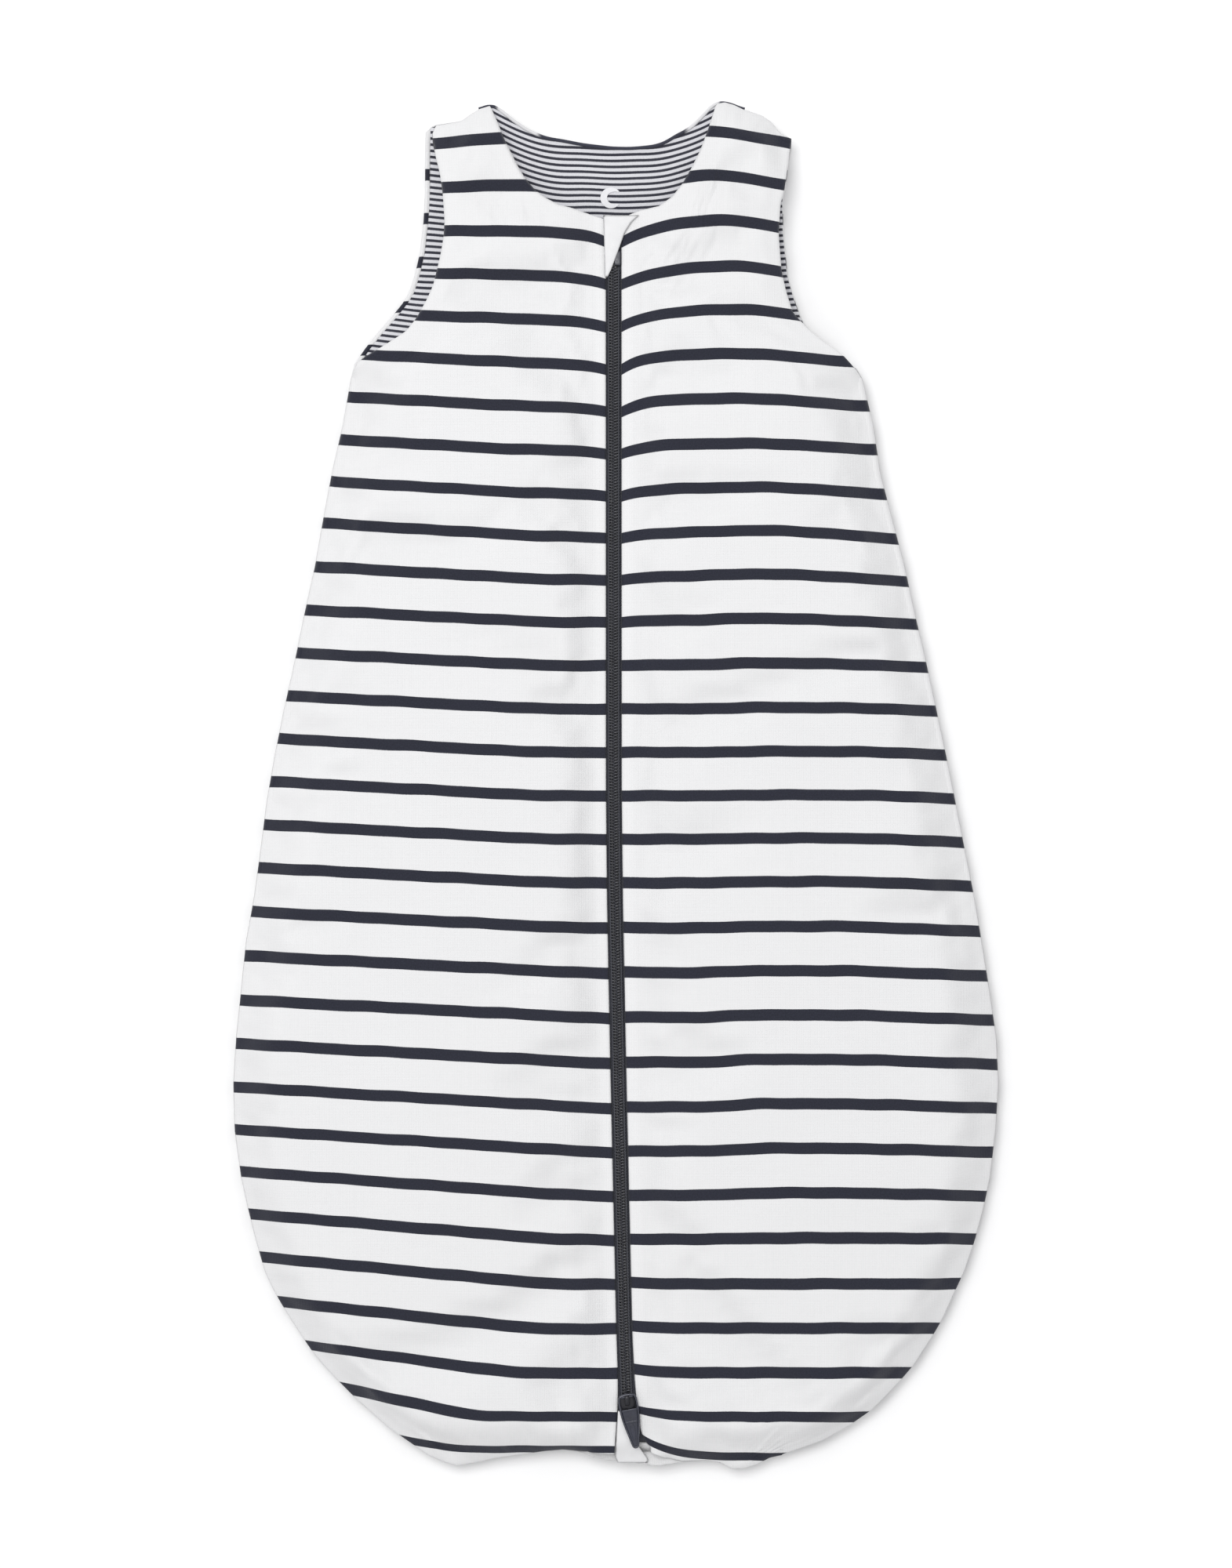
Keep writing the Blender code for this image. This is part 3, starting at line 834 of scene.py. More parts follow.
    def back_under(self, x: Array, y: Array) -> Array:
        """Underside of the bag: flat on the floor, lifting at the seams.

        Args:
            x, y: the points.

        Returns:
            The height: the seam's lift times a smooth fall away from the sides and the foot.
        """
        foot = 1.0 - smooth((y - self.foot_y) / 80.0)
        middle = np.exp(-(((x - self.zip_line[1][0]) / 50.0) ** 2))
        edge = 1.0 - smooth(self.side_distance(x, y) / 40.0) * smooth((y - self.foot_y) / 40.0)
        lift = (self.seam_lift + self.foot_lift * middle * foot) * edge
        lift = lift * (1.0 - 0.6 * smooth((y - self.armhole_y) / 40.0))
        return lift + self.shoulder_lift * smooth((y - 300.0) / 47.0)

    def fuller(self, x: Array, y: Array, top_distance: Array) -> Array:
        """How much fuller the wadding is than at a seam.

        Args:
            x, y: the points.
            top_distance: distance of each from the neck or shoulder edge.

        Returns:
            The added thickness: full well inside, fading towards the sides, the foot and the top.
        """
        sides = smooth(self.side_distance(x, y) / self.seam_fade)
        foot = smooth((y - self.foot_y) / self.seam_fade)
        top = self.top_part + (1.0 - self.top_part) * smooth(top_distance / self.seam_fade)
        return (self.fill_full - self.fill_edge) * sides * foot * top

    def back_fill(self, x: Array, y: Array) -> Array:
        """Thickness of the back's wadding."""
        return self.fill_edge + self.fuller(x, y, along(self.back_neck, x) - y)

    def back_top(self, x: Array, y: Array) -> Array:
        """Upper face of the back's lining."""
        return self.back_under(x, y) + self.covers + self.back_fill(x, y)

    def front_fill(self, x: Array, y: Array) -> Array:
        """Thickness of the front's wadding, thinner at the seams and at the zip."""
        zip_edge = smooth((np.abs(x - self.zip_x(y)) - 9.0) / 16.0)
        return self.fill_edge + self.fuller(x, y, self.shoulder_distance(x, y)) * zip_edge

    def front_top(self, x: Array, y: Array) -> Array:
        """Upper face of the front: it rises from the seams and levels off under the limit.

        The height of the hollow under it is the full cavity times parts for the side and the ends;
        at the zip it comes down to the tape.

        Args:
            x, y: the points.

        Returns:
            The height at each point.
        """
        armhole = smooth((y - 200.0) / 25.0)
        side = smooth(self.side_distance(x, y) / 45.0)
        side = side + (1.0 - side) * armhole
        ends = smooth((y - self.foot_y) / 45.0) * smooth(self.shoulder_distance(x, y) / 30.0)
        free = self.back_top(x, y) + 0.4 + self.cavity * side * ends
        free = free + self.covers + self.front_fill(x, y)
        free = soft_limit(free, self.front_limit, 2.2)
        near_zip = 1.0 - smooth((np.abs(x - self.zip_x(y)) - 6.0) / 24.0)
        return free + (self.tape_z(y) + 2.3 - free) * near_zip

    def front_under(self, x: Array, y: Array) -> Array:
        """Underside of the front's lining, clear of the back's lining and of the zip's tape."""
        under = self.front_top(x, y) - self.covers - self.front_fill(x, y)
        near_zip = 1.0 - smooth((np.abs(x - self.zip_x(y)) - 13.0) / 8.0)
        under = under + (np.minimum(under, self.tape_z(y) - 1.1) - under) * near_zip
        return np.maximum(under, self.back_top(x, y) + 0.3)

    def seam_z(self, x: Array, y: Array) -> Array:
        """Height of the seam that joins the back and the front."""
        return self.back_top(x, y) + 0.2


@dataclass(frozen=True)
class StripeLay:
    """Where the knitted stripes run over the cloth.

    A stripe keeps one number along its whole length. At the zip the numbers follow the order
    table. Away from the zip a stripe climbs first by its droop or climb, which fades in over the
    reach, and then by a slope that sets in after an onset; on the right it falls again past its
    turn. Each table gives a value at each y.
    """

    order: Points = (
        (-352.5, 28.0), (-341.2, 27.0), (-324.4, 26.0), (-256.3, 23.0), (-161.5, 18.8),
        (-50.4, 14.0), (16.7, 11.0), (83.4, 8.0), (150.2, 4.9), (256.5, 0.0), (278.3, -1.0),
        (300.5, -2.0), (323.0, -3.0), (345.5, -4.0), (368.0, -5.0),
    )
    reach: float = 13.0
    right_top_reach: float = 9.0
    bend_width: float = 6.0
    spread_height: float = 9.4
    spread: float = 1892.0
    back_first_y: float = 312.7
    back_pitch: float = 22.35
    lining_middle: float = -4.0
    lining_pitch: float = 3.05
    left_droop: Points = (
        (-340, 0.2), (-280, 0.0), (-230, 0.8), (-120, 0.7), (-52, 0.4), (0, 0.0), (90, 0.0),
        (125, 1.0), (168, 2.2), (212, 3.3), (234, 4.0), (256, 5.0), (278, 5.8), (300, 7.2),
        (330, 9.8),
    )
    left_onset: Points = (
        (-340, 92), (-323, 76), (-301, 55), (-279, 45), (-256, 38), (-233, 34),
        (-188, 20), (-120, 16), (-52, 33), (16, 37), (82, 31), (125, 36), (168, 47), (212, 42),
        (256, 40), (278, 60), (300, 64), (330, 58),
    )
    left_slope: Points = (
        (-340, 0.22), (-323, 0.22), (-301, 0.13), (-279, 0.107), (-256, 0.095),
        (-233, 0.083), (-188, 0.063), (-120, 0.05), (0, 0.053), (82, 0.05), (125, 0.06),
        (168, 0.055), (212, 0.05), (256, 0.02), (278, 0.0), (300, -0.07), (330, -0.12),
    )
    right_near: Points = (
        (-341, 9.5), (-331, 6.5), (-322, 3.1), (-300, 1.9), (-278, 1.6), (-254, 1.3), (-232, 0.8),
        (-120, 0.8), (-28, 0.3), (16, 0.0), (330, 0.0),
    )
    right_climb: Points = (
        (-341, -4.0), (-326, 0.0), (-278, 0.4), (-254, 0.3), (-232, 0.8), (-210, 0.7), (-165, 0.9),
        (-119, 0.7), (-73, 0.1), (-28, 0.2), (16, 0.0), (38, 0.1), (60, 0.5), (82, 1.2),
        (104, 2.4), (126, 3.2), (148, 4.3), (170, 5.4), (192, 7.0), (214, 8.3), (236, 9.6),
        (257, 10.6), (278, 13.0), (300, 14.5), (330, 15.5),
    )
    right_swell: Points = (
        (-340, 0.0), (-254, 0.1), (-210, 1.3), (-165, 1.7), (-119, 1.2), (-73, 0.9), (0, 0.4),
        (60, 0.8), (126, 1.0), (170, 0.2), (192, 0.0), (330, 0.0),
    )
    right_turn: Points = (
        (-254, 150), (-210, 116), (-96, 118), (0, 130), (38, 118), (60, 100), (82, 88), (126, 84),
        (148, 80), (170, 74), (192, 73), (236, 72), (257, 68), (278, 60), (330, 46),
    )
    right_fall: Points = (
        (-254, 0.0), (-210, 0.025), (-96, 0.04), (0, 0.045), (60, 0.035), (82, 0.045), (104, 0.06),
        (126, 0.075), (170, 0.055), (192, 0.075), (214, 0.09), (236, 0.16), (257, 0.21),
        (278, 0.2), (330, 0.22),
    )

    def climb(self, away: Array, y: Array, side: Side) -> Array:
        """How far a stripe has risen at a distance from the zip.

        Args:
            away: distance from the zip.
            y: height of the stripe at the zip.
            side: the half of the front.

        Returns:
            The rise: a part that fades in by 1 - e^(-d / reach), then a straight slope.
        """
        longer = self.right_top_reach * smooth((y - 210.0) / 50.0)
        reach = self.reach + (longer if side is Side.RIGHT else 0.0)
        faded = 1.0 - np.exp(-np.maximum(away - 4.0, 0.0) / reach)
        turn = along(self.left_onset if side is Side.LEFT else self.right_turn, y)
        past = np.logaddexp(0.0, (away - turn) / self.bend_width) * self.bend_width
        if side is Side.LEFT:
            return along(self.left_droop, y) * faded + along(self.left_slope, y) * past
        near = along(self.right_near, y)
        level = near + (along(self.right_climb, y) - near) * faded
        level = level + along(self.right_swell, y) * smooth((away - 38.0) / 38.0)
        return level - along(self.right_fall, y) * past

    def front(self, x: Array, y: Array, top: Array, away: Array, side: Side) -> Array:
        """Stripe numbers on the front.

        Args:
            x, y, top: the points of the front's face.
            away: distance of each from the zip.
            side: the half of the front.

        Returns:
            The number at each point. The knit is spread a little where the front stands high.
        """
        wider = 1.0 + (top - self.spread_height) / self.spread
        x, y = x * wider, y * wider
        wander = 0.25 * ripple(x + 0.35 * y, (61.0, 37.0, 23.0), 5)
        base = y
        for _ in range(3):
            base = y - self.climb(away, base, side) - wander
        return along(self.order, base)

    def back(self, x: Array, y: Array) -> Array:
        """Stripe numbers on the back, which lie straight but for a slight wander."""
        wander = 0.8 * ripple(x + 0.2 * y, (170.0, 83.0, 47.0), 9)
        return np.maximum((self.back_first_y - y - wander) / self.back_pitch, -0.6)

    def lining(self, x: Array, y: Array, bend: float) -> Array:
        """Stripe numbers of the lining.

        Args:
            x, y: the points.
            bend: how sharply the stripes turn up towards the shoulders.

        Returns:
            The number at each point, falling off with the square of the distance from the middle.
        """
        away = np.abs(x - self.lining_middle)
        past = np.clip(away - 18.0, 0.0, 44.0) * smooth((y - 255.0) / 50.0)
        past = past * (1.0 - smooth((away - 62.0) / 12.0))
        wander = 0.35 * ripple(x + 0.3 * y, (71.0, 43.0, 29.0), 11)
        return (y - bend * past**2 - 0.0006 * away**2 - wander) / self.lining_pitch


# ---------------------------------------------------------------- padded panels


@dataclass
class Panel:
    """Plan of one panel: its grid, its lie on the bag and its distances to sewn and open edges."""

    shape: BagShape
    left: Array
    right: Array
    rows: Array
    foot: Points
    top: Points
    columns: int
    sewn_left: bool = True
    sewn_right: bool = True
    insets: tuple[float, ...] = (0.0, 0.4, 0.9, 1.6, 2.4, 3.4, 5.0)
    corner_y: float = 333.0
    start_y: float = -344.0
    x: Array = field(init=False)
    y: Array = field(init=False)
    sewn: Array = field(init=False)
    loose: Array = field(init=False)
    seam_place: Array = field(init=False)

    def __post_init__(self) -> None:
        """Lay the grid: rows run from side to side and bend to the foot's and top's outlines."""
        edge = np.array(self.insets)
        inner = np.linspace(0.0, 1.0, self.columns)[None, 1:-1]
        wide = (self.right - self.left)[:, None]
        middle = self.left[:, None] + edge[-1] + (wide - 2.0 * edge[-1]) * inner
        ends = (self.left[:, None] + edge, self.right[:, None] - edge[::-1])
        self.x = np.concatenate([ends[0], middle, ends[1]], axis=1)
        level = self.rows[:, None] + 0.0 * self.x
        near_foot = 1.0 - smooth((level - self.start_y) / 80.0)
        low = (along(self.foot, self.x) - self.start_y) * near_foot
        span = self.corner_y - self.shape.armhole_y
        near_top = smooth((level - self.shape.armhole_y) / span)
        high = (along(self.top, self.x) - self.corner_y) * near_top
        self.y = level + low + high
        self.measure()

    def measure(self) -> None:
        """Distances of all points to the sewn and to the open parts of the outline."""
        sewn, loose = [], []
        low = self.rows < 210.0
        for side, closed in ((0, self.sewn_left), (-1, self.sewn_right)):
            run = np.stack([self.x[:, side], self.y[:, side]], axis=1)
            if closed:
                sewn.append(run[low])
                loose.append(run[~low])
            else:
                loose.append(run)
        foot = np.stack([self.x[0], self.y[0]], axis=1)
        full = self.sewn_left and self.sewn_right
        sewn.append(foot if full else foot[np.abs(foot[:, 0] - 6.0) > 20.0])
        head = np.stack([self.x[-1], self.y[-1]], axis=1)
        for part in (head[:, 0] <= -64.0, head[:, 0] >= 51.0):
            if part.sum() > 1:
                sewn.append(head[part])
        neck = (head[:, 0] > -64.5) & (head[:, 0] < 51.5)
        loose.append(head[neck])
        found = [run_distance(self.x, self.y, run) for run in sewn]
        nearest = np.argmin([away for away, _ in found], axis=0)
        self.sewn = np.min([away for away, _ in found], axis=0)
        places = np.stack([place + 500.0 * step for step, (_, place) in enumerate(found)])
        self.seam_place = np.take_along_axis(places, nearest[None], axis=0)[0]
        self.loose = np.min([run_distance(self.x, self.y, run)[0] for run in loose], axis=0)

    def edged(self, face: Array, level: Array, sewn_radius: float, loose_radius: float) -> Array:
        """Bring a face down to the level of the outline, on a quarter circle at every edge."""
        part = np.minimum(rounded(self.sewn / sewn_radius), rounded(self.loose / loose_radius))
        return level + (face - level) * part

    def puckers(self, depth: float, seed: int) -> Array:
        """Short tucks that start at the sewn edges and fade into the cloth, over slow swells.

        Args:
            depth: their depth.
            seed: seed of their places.

        Returns:
            The rise of each point: waves along the seam times a fading of the distance from it.
        """
        drift = 0.35 * self.sewn
        tucks = ripple(self.seam_place + drift, (6.3, 9.7, 14.9, 23.0), seed)
        near = smooth(self.sewn / 3.0) * np.exp(-((self.sewn / 15.0) ** 1.5))
        slow = ripple(self.seam_place, (41.0, 67.0, 113.0), seed + 1)
        slow = slow * smooth(self.sewn / 12.0) * np.exp(-self.sewn / 26.0)
        return depth * (tucks * near * 1.3 + slow * 1.6)

    def swells(self, depth: float, seed: int) -> Array:
        """Broad soft waves of the filling, flat near all edges.

        Args:
            depth: their depth.
            seed: seed of their places.

        Returns:
            The rise of each point: two slanting sums of waves, faded towards every edge.
        """
        wave = ripple(self.x + 0.3 * self.y, (97.0, 141.0, 63.0), seed)
        wave = wave + ripple(self.y - 0.4 * self.x, (83.0, 127.0, 59.0), seed + 1)
        return 0.5 * depth * wave * smooth(self.sewn / 30.0) * smooth((self.loose - 6.0) / 30.0)


def row_places(step: float) -> Array:
    """Rows of a panel from the foot to the top, close together at both ends.

    Args:
        step: distance between the inner rows.

    Returns:
        The y of each row before it bends to the outlines.
    """
    edge = np.array(Panel.insets)
    low, high = Panel.start_y, Panel.corner_y
    count = int((high - low - 2.0 * edge[-1]) / step)
    inner = np.linspace(low + edge[-1], high - edge[-1], count + 1)[1:-1]
    return np.concatenate([low + edge, inner, (high - edge)[::-1]])


@dataclass(frozen=True)
class ClothSettling:
    """Cloth simulation that swells the face of a pad from inside."""

    pressure: float = 1.6
    shrink: float = -0.03
    frames: int = 18
    cap: float = 3.2
    step: int = 3

    def swell(self, panel: Panel, face: Array) -> Array:
        """How far each point of a face rises when its cloth settles.

        Args:
            panel: the panel that the face belongs to.
            face: height of each of its points.

        Returns:
            The rise of each point in millimetres, 0 near the outline.
        """
        picked = [np.unique(np.append(np.arange(0, count, self.step), count - 1))
                  for count in face.shape]
        pick = np.ix_(*picked)
        points = np.stack([panel.x[pick], panel.y[pick], face[pick]], axis=-1)
        index = np.arange(points.shape[0] * points.shape[1]).reshape(points.shape[:2])
        quads = grid_quads(index)
        piece = add_piece("settling", points.reshape(-1, 3), quads, bpy.data.materials[0])
        pinned = (panel.sewn[pick] < 4.0) | (panel.loose[pick] < 9.0)
        group = piece.vertex_groups.new(name="held")
        group.add(index[pinned].tolist(), 1.0, "REPLACE")
        modifier = piece.modifiers.new("cloth", "CLOTH")
        cloth = modifier.settings
        cloth.vertex_group_mass = "held"
        cloth.quality = 6
        cloth.mass = 0.25
        cloth.use_pressure = True
        cloth.uniform_pressure_force = self.pressure
        cloth.shrink_min = self.shrink
        cloth.bending_stiffness = 1.5
        cloth.effector_weights.gravity = 0.0
        modifier.collision_settings.use_collision = False
        modifier.collision_settings.use_self_collision = False
        scene = bpy.context.scene
        for frame in range(1, self.frames + 1):
            scene.frame_set(frame)
        settled = piece.evaluated_get(bpy.context.evaluated_depsgraph_get())
        after = np.empty(len(settled.data.vertices) * 3)
        settled.data.vertices.foreach_get("co", after)
        rise = after.reshape(-1, 3)[:, 2].reshape(index.shape) / MM - points[..., 2]
        rise = np.clip(rise, -self.cap, self.cap)
        bpy.data.objects.remove(piece)
        scene.frame_set(1)
        rows, columns = (np.arange(count) for count in face.shape)
        across = [np.interp(columns, picked[1], row) for row in rise]
        full = np.stack([np.interp(rows, picked[0], line) for line in np.transpose(across)], 1)
        LOG.info("settled cloth rises up to %.1f mm", full.max())
        return full * smooth(panel.sewn / 10.0) * smooth((panel.loose - 4.0) / 14.0)


@dataclass(frozen=True)
class Panels:
    """The padded back and fronts with their linings."""

    shape: BagShape
    lay: StripeLay
    finishes: Finishes
    settling: ClothSettling
    row_step: float = 2.6
    lining_inset: int = 4
    back_lining_foot: int = 9
    clearance: float = 0.95
    seam_blend: float = 14.0
    top_radius: float = 8.0
    floor_radius: float = 9.0
    lining_radius: float = 3.0
    hem_radius: float = 1.8
    back_lining_bend: float = 0.006

    def back(self) -> None:
        """Make the padded back and its lining."""
        shape = self.shape
        rows = row_places(self.row_step)
        panel = Panel(shape, along(shape.left_edge, rows), along(shape.right_edge, rows), rows,
                      shape.back_foot, shape.back_neck, columns=118)
        x, y = panel.x, panel.y
        lining = shape.back_top(x, y)
        hem = np.maximum(smooth((panel.loose - 1.9) / 1.0), smooth((x + 75.0) / 8.0))
        top = lining - self.clearance * hem + 0.1 * (1.0 - hem)
        bottom = shape.back_under(x, y) + self.flat_floor(panel)
        level = shape.seam_z(x, y)
        level = level + ((top + bottom) / 2.0 - level) * smooth(panel.sewn / self.seam_blend)
        top = panel.edged(top, level, self.lining_radius, self.hem_radius)
        bottom = panel.edged(bottom, level, self.floor_radius, self.hem_radius)
        nodes = ("back_shell", "back_wadding")
        self.pad("back_pad", panel, top, bottom, self.lay.back(x, y), nodes, None)
        face = lining - 0.12 + 0.12 * ripple(x + 0.7 * y, (31.0, 47.0, 19.0), 3)
        number = self.lay.lining(x, y, self.back_lining_bend)
        self.liner("back_lining_cloth", panel, face, number, ("back_lining",), None)

    def flat_floor(self, panel: Panel) -> Array:
        """Tucks on the underside near the seams."""
        return np.maximum(panel.puckers(0.35, 21), -0.2) * smooth(panel.sewn / 8.0)

    def front(self, side: Side) -> None:
        """Make the padded front of one side and its lining.

        Args:
            side: the half of the front.
        """
        shape, word = self.shape, side.word
        rows = row_places(self.row_step)
        middle = shape.zip_x(rows)
        left = side is Side.LEFT
        edge, armhole, gap, foot = (
            (shape.left_edge, shape.left_armhole, shape.left_gap, shape.left_foot) if left
            else (shape.right_edge, shape.right_armhole, shape.right_gap, shape.right_foot))
        outer = np.where(rows < shape.seam_top_y, along(edge, rows), along(armhole, rows))
        inner = middle + side.value * along(gap, rows)
        edges = (outer, inner) if left else (inner, outer)
        panel = Panel(shape, *edges, rows, foot, shape.front_neck, columns=78,
                      sewn_left=left, sewn_right=not left)
        x, y = panel.x, panel.y
        away = np.abs(x - shape.zip_x(y))
        seed = 31 if left else 61
        top = shape.front_top(x, y) + panel.puckers(0.55, seed) + panel.swells(0.8, seed + 5)
        under = shape.front_under(x, y)
        bottom = under + self.clearance * smooth((panel.loose - 1.9) / 1.0)
        over_tape = shape.tape_z(y) + 0.65 - 6.0 * smooth((away - 12.8) / 5.0)
        bottom = np.maximum(bottom, over_tape)
        top = np.maximum(top, bottom + 0.7)
        level = shape.seam_z(x, y)
        level = level + ((top + bottom) / 2.0 - level) * smooth(panel.sewn / self.seam_blend)
        radii = (self.top_radius, self.hem_radius)
        top = top + self.settling.swell(panel, panel.edged(top, level, *radii))
        top = panel.edged(top, level, *radii)
        bottom = panel.edged(bottom, level, self.lining_radius, self.hem_radius)
        number = self.lay.front(x, y, top, away, side)
        # Painted light: marks the cloth within about 8 mm of the zip's middle to be painted
        # lighter.
        backed = 1.0 - smooth((away - 8.0) / 3.0)
        nodes = tuple(f"{word}_{part}" for part in
                      ("side_shell", "side_wadding", "flap_shell", "flap_wadding"))
        self.pad(f"{word}_front_pad", panel, top, bottom, number, nodes, side, backed)
        nodes = (f"{word}_side_lining", f"{word}_flap_lining")
        number = self.lay.lining(x, y, 0.0)
        self.liner(f"{word}_front_lining", panel, under + shape.cloth, number, nodes, side)

    def pad(self, name: str, panel: Panel, top: Array, bottom: Array, number: Array,
            nodes: tuple[str, ...], side: Side | None, backed: Array | None = None) -> None:
        """Args:
            name: the piece's name.
            panel: its plan.
            top, bottom: heights of its two faces.
            number: its stripe numbers.
            nodes: the solids it stands for.
            side: the half of the front it belongs to, or None on the back.
            backed: 1 on the band beside the zip, painted lighter as if its flat cloth caught more
                light, 0 elsewhere.
        """
        x, y = panel.x, panel.y
        piece = closed_sheet(name, x, y, top, bottom, self.finishes.striped)
        backed = np.zeros_like(number) if backed is None else backed
        lay_pattern(piece, both_faces(x), both_faces(y), stripe=both_faces(number),
                    backed=both_faces(backed))
        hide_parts(*nodes)
        self.hold(piece, side)

    def liner(self, name: str, panel: Panel, top: Array, number: Array,
              nodes: tuple[str, ...], side: Side | None) -> None:
        """Args:
            name: the piece's name.
            panel: plan of its pad, which the lining stays inside of.
            top: height of its upper face.
            number: its stripe numbers.
            nodes: the solids it stands for.
            side: the half of the front it belongs to, or None on the back.
        """
        start, end = self.lining_inset, -self.lining_inset
        up, across = slice(start, end), slice(start, end)
        if side is None:
            up, across = slice(self.back_lining_foot, -1), slice(start, -1)
        x, y, top, number = (part[up, across] for part in (panel.x, panel.y, top, number))
        piece = closed_sheet(name, x, y, top, top - self.shape.cloth, self.finishes.lining)
        stripe = both_faces(number)
        lay_pattern(piece, both_faces(x), both_faces(y), stripe=stripe, backed=0.0 * stripe)
        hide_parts(*nodes)
        across, up = np.diff(x, axis=1), np.diff(y, axis=0)
        self.hold(piece, side)

    def hold(self, piece: bpy.types.Object, side: Side | None) -> None:
        """Let a piece ride on the bag; a piece of a flap only has its place baked into its mesh.

        Args:
            piece: the piece.
            side: the flap's side, or None for a piece of the back.
        """
        if side is None:
            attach(piece, "bag")
            LOG.info("%s rides on bag", piece.name)
            return
        (x1, y1, z1), (x0, y0, _) = self.shape.fold(side)
        normal = np.array([y1 - y0, x0 - x1]) * -side.value
        normal = normal / np.hypot(*normal)
        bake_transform(piece)
        LOG.info("%s turns onto %s_flap", piece.name, side.word)


# ---------------------------------------------------------------- zip and slider


@dataclass(frozen=True)
class Zip:
    """Tapes, nylon coils and their stitching, with the stops, the pin and the box."""

    shape: BagShape
    finishes: Finishes
    tape_inner: float = 1.3
    tape_outer: float = 12.4
    tape_low: float = -336.0
    tape_high: float = 284.0
    coil_low: float = -323.0
    coil_high: float = 264.0
    pitch: float = 1.5

    def make(self) -> None:
        """Make every piece of the zip but its slider."""
        metal, plastic = self.finishes.metal, self.finishes.plastic
        for side in Side:
            self.tape(side)
            self.coil(side)
            self.stitches(side)
            self.block_at(side, f"zip_stop_{side.word}", (2.1 * side.value, -325.3, 1.35),
                          (1.0, 1.7, 0.75), metal, "zip_metal")
        self.block_at(Side.LEFT, "zip_pin", (-1.35, 269.3, 1.75), (1.05, 4.7, 1.05),
                      plastic, "pin_plastic")
        self.block_at(Side.RIGHT, "zip_box", (1.95, 268.3, 1.9), (1.65, 3.7, 1.2),
                      plastic, "pin_plastic")

    def declare(self, piece: bpy.types.Object, body: str, slot: str, *nodes: str) -> None:
        """Give a piece its body and hide the solids it stands for.

        Args:
            piece: the piece.
            body: the body it rides on.
            slot: not used.
            nodes: the solids it stands for, if any.
        """
        if nodes:
            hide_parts(*nodes)
        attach(piece, body)
        LOG.info("%s rides on %s", piece.name, body)

    def tape(self, side: Side) -> None:
        """Woven tape of one side: a flat strip with a slightly raised inner edge.

        Args:
            side: the side of the zip.
        """
        y = np.linspace(self.tape_low, self.tape_high, 320)[:, None]
        away = np.linspace(self.tape_inner, self.tape_outer, 9)[None] * side.value
        away = away[:, ::side.value]
        x, y = self.shape.zip_x(y) + away, y + 0.0 * away
        z = self.shape.tape_z(y)
        top = z + 0.6 + 0.05 * np.cos(away * 2.0)
        piece = closed_sheet(f"zip_tape_{side.word}_cloth", x, y, top, z, self.finishes.tape)
        lay_pattern(piece, both_faces(x), both_faces(y))
        self.declare(piece, f"{side.word}_flap", "zip_tape", f"zip_tape_{side.word}")

    def coil(self, side: Side) -> None:
        """Coil of one side: a flattened helix whose turns bulge where they meet the other side.

        Args:
            side: the side of the zip.
        """
        turns = int((self.coil_high - self.coil_low) / self.pitch)
        steps = 10
        angle = np.arange(turns * steps + 1) * 2.0 * np.pi / steps
        half_turn = 0.5 if side is Side.LEFT else 0.0
        y = self.coil_low + self.pitch * (angle / (2.0 * np.pi) + half_turn)
        across = 1.35 - 1.7 * np.cos(angle)
        x = self.shape.zip_x(y) + side.value * across
        z = self.shape.tape_z(y) + 1.75 + 0.75 * np.sin(angle)
        thick = 0.3 + 0.12 * np.clip(np.cos(angle), 0.0, 1.0)
        path = np.stack([x, y, z], 1)
        piece = swept(f"zip_coil_{side.word}_turns", path, thick, thick, 6, self.finishes.nylon)
        self.declare(piece, f"{side.word}_flap", "coil_nylon", f"zip_coil_{side.word}")

    def stitches(self, side: Side) -> None:
        """Row of stitches that holds the coil to its tape.

        Args:
            side: the side of the zip.
        """
        y = np.arange(self.coil_low, self.coil_high, 0.5)
        dip = np.cos(2.0 * np.pi * y / self.pitch)
        x = self.shape.zip_x(y) + side.value * (2.5 + 0.12 * dip)
        z = self.shape.tape_z(y) + 2.75 + 0.1 * dip
        path = np.stack([x, y, z], 1)
        piece = swept(f"zip_stitch_{side.word}", path, 0.24, 0.16, 5, self.finishes.thread)
        self.declare(piece, f"{side.word}_flap", "zip_tape")

    def block_at(self, side: Side, name: str, place: tuple[float, float, float],
                 half: tuple[float, float, float], material: bpy.types.Material,
                 slot: str) -> None:
        """Args:
            side: the flap it rides on.
            name: the solid it stands for.
            place: distance from the zip's middle in x, its y, and height above the tape.
            half: its half sizes.
            material: its finish.
            slot: its material slot.
        """
        away, y, above = place
        centre = (self.shape.zip_x(y) + away, y, self.shape.tape_z(y) + above)
        piece = block(f"{name}_block", centre, half, material)
        self.declare(piece, f"{side.word}_flap", slot, name)


def domed(name: str, x: Array, y: Array, z: Array,
          material: bpy.types.Material) -> bpy.types.Object:
    """Closed form from a grid that runs round by column and from pole to pole by row.

    Args:
        name: the piece's name.
        x, y, z: the points of the grid.
        material: its finish.

    Returns:
        The new object, with each pole merged to a point.
    """
    quads = grid_quads(wrapped_grid(*x.shape))
    piece = add_piece(name, np.stack([x, y, z], -1).reshape(-1, 3), quads, material)
    merge_faces(piece)
    return piece


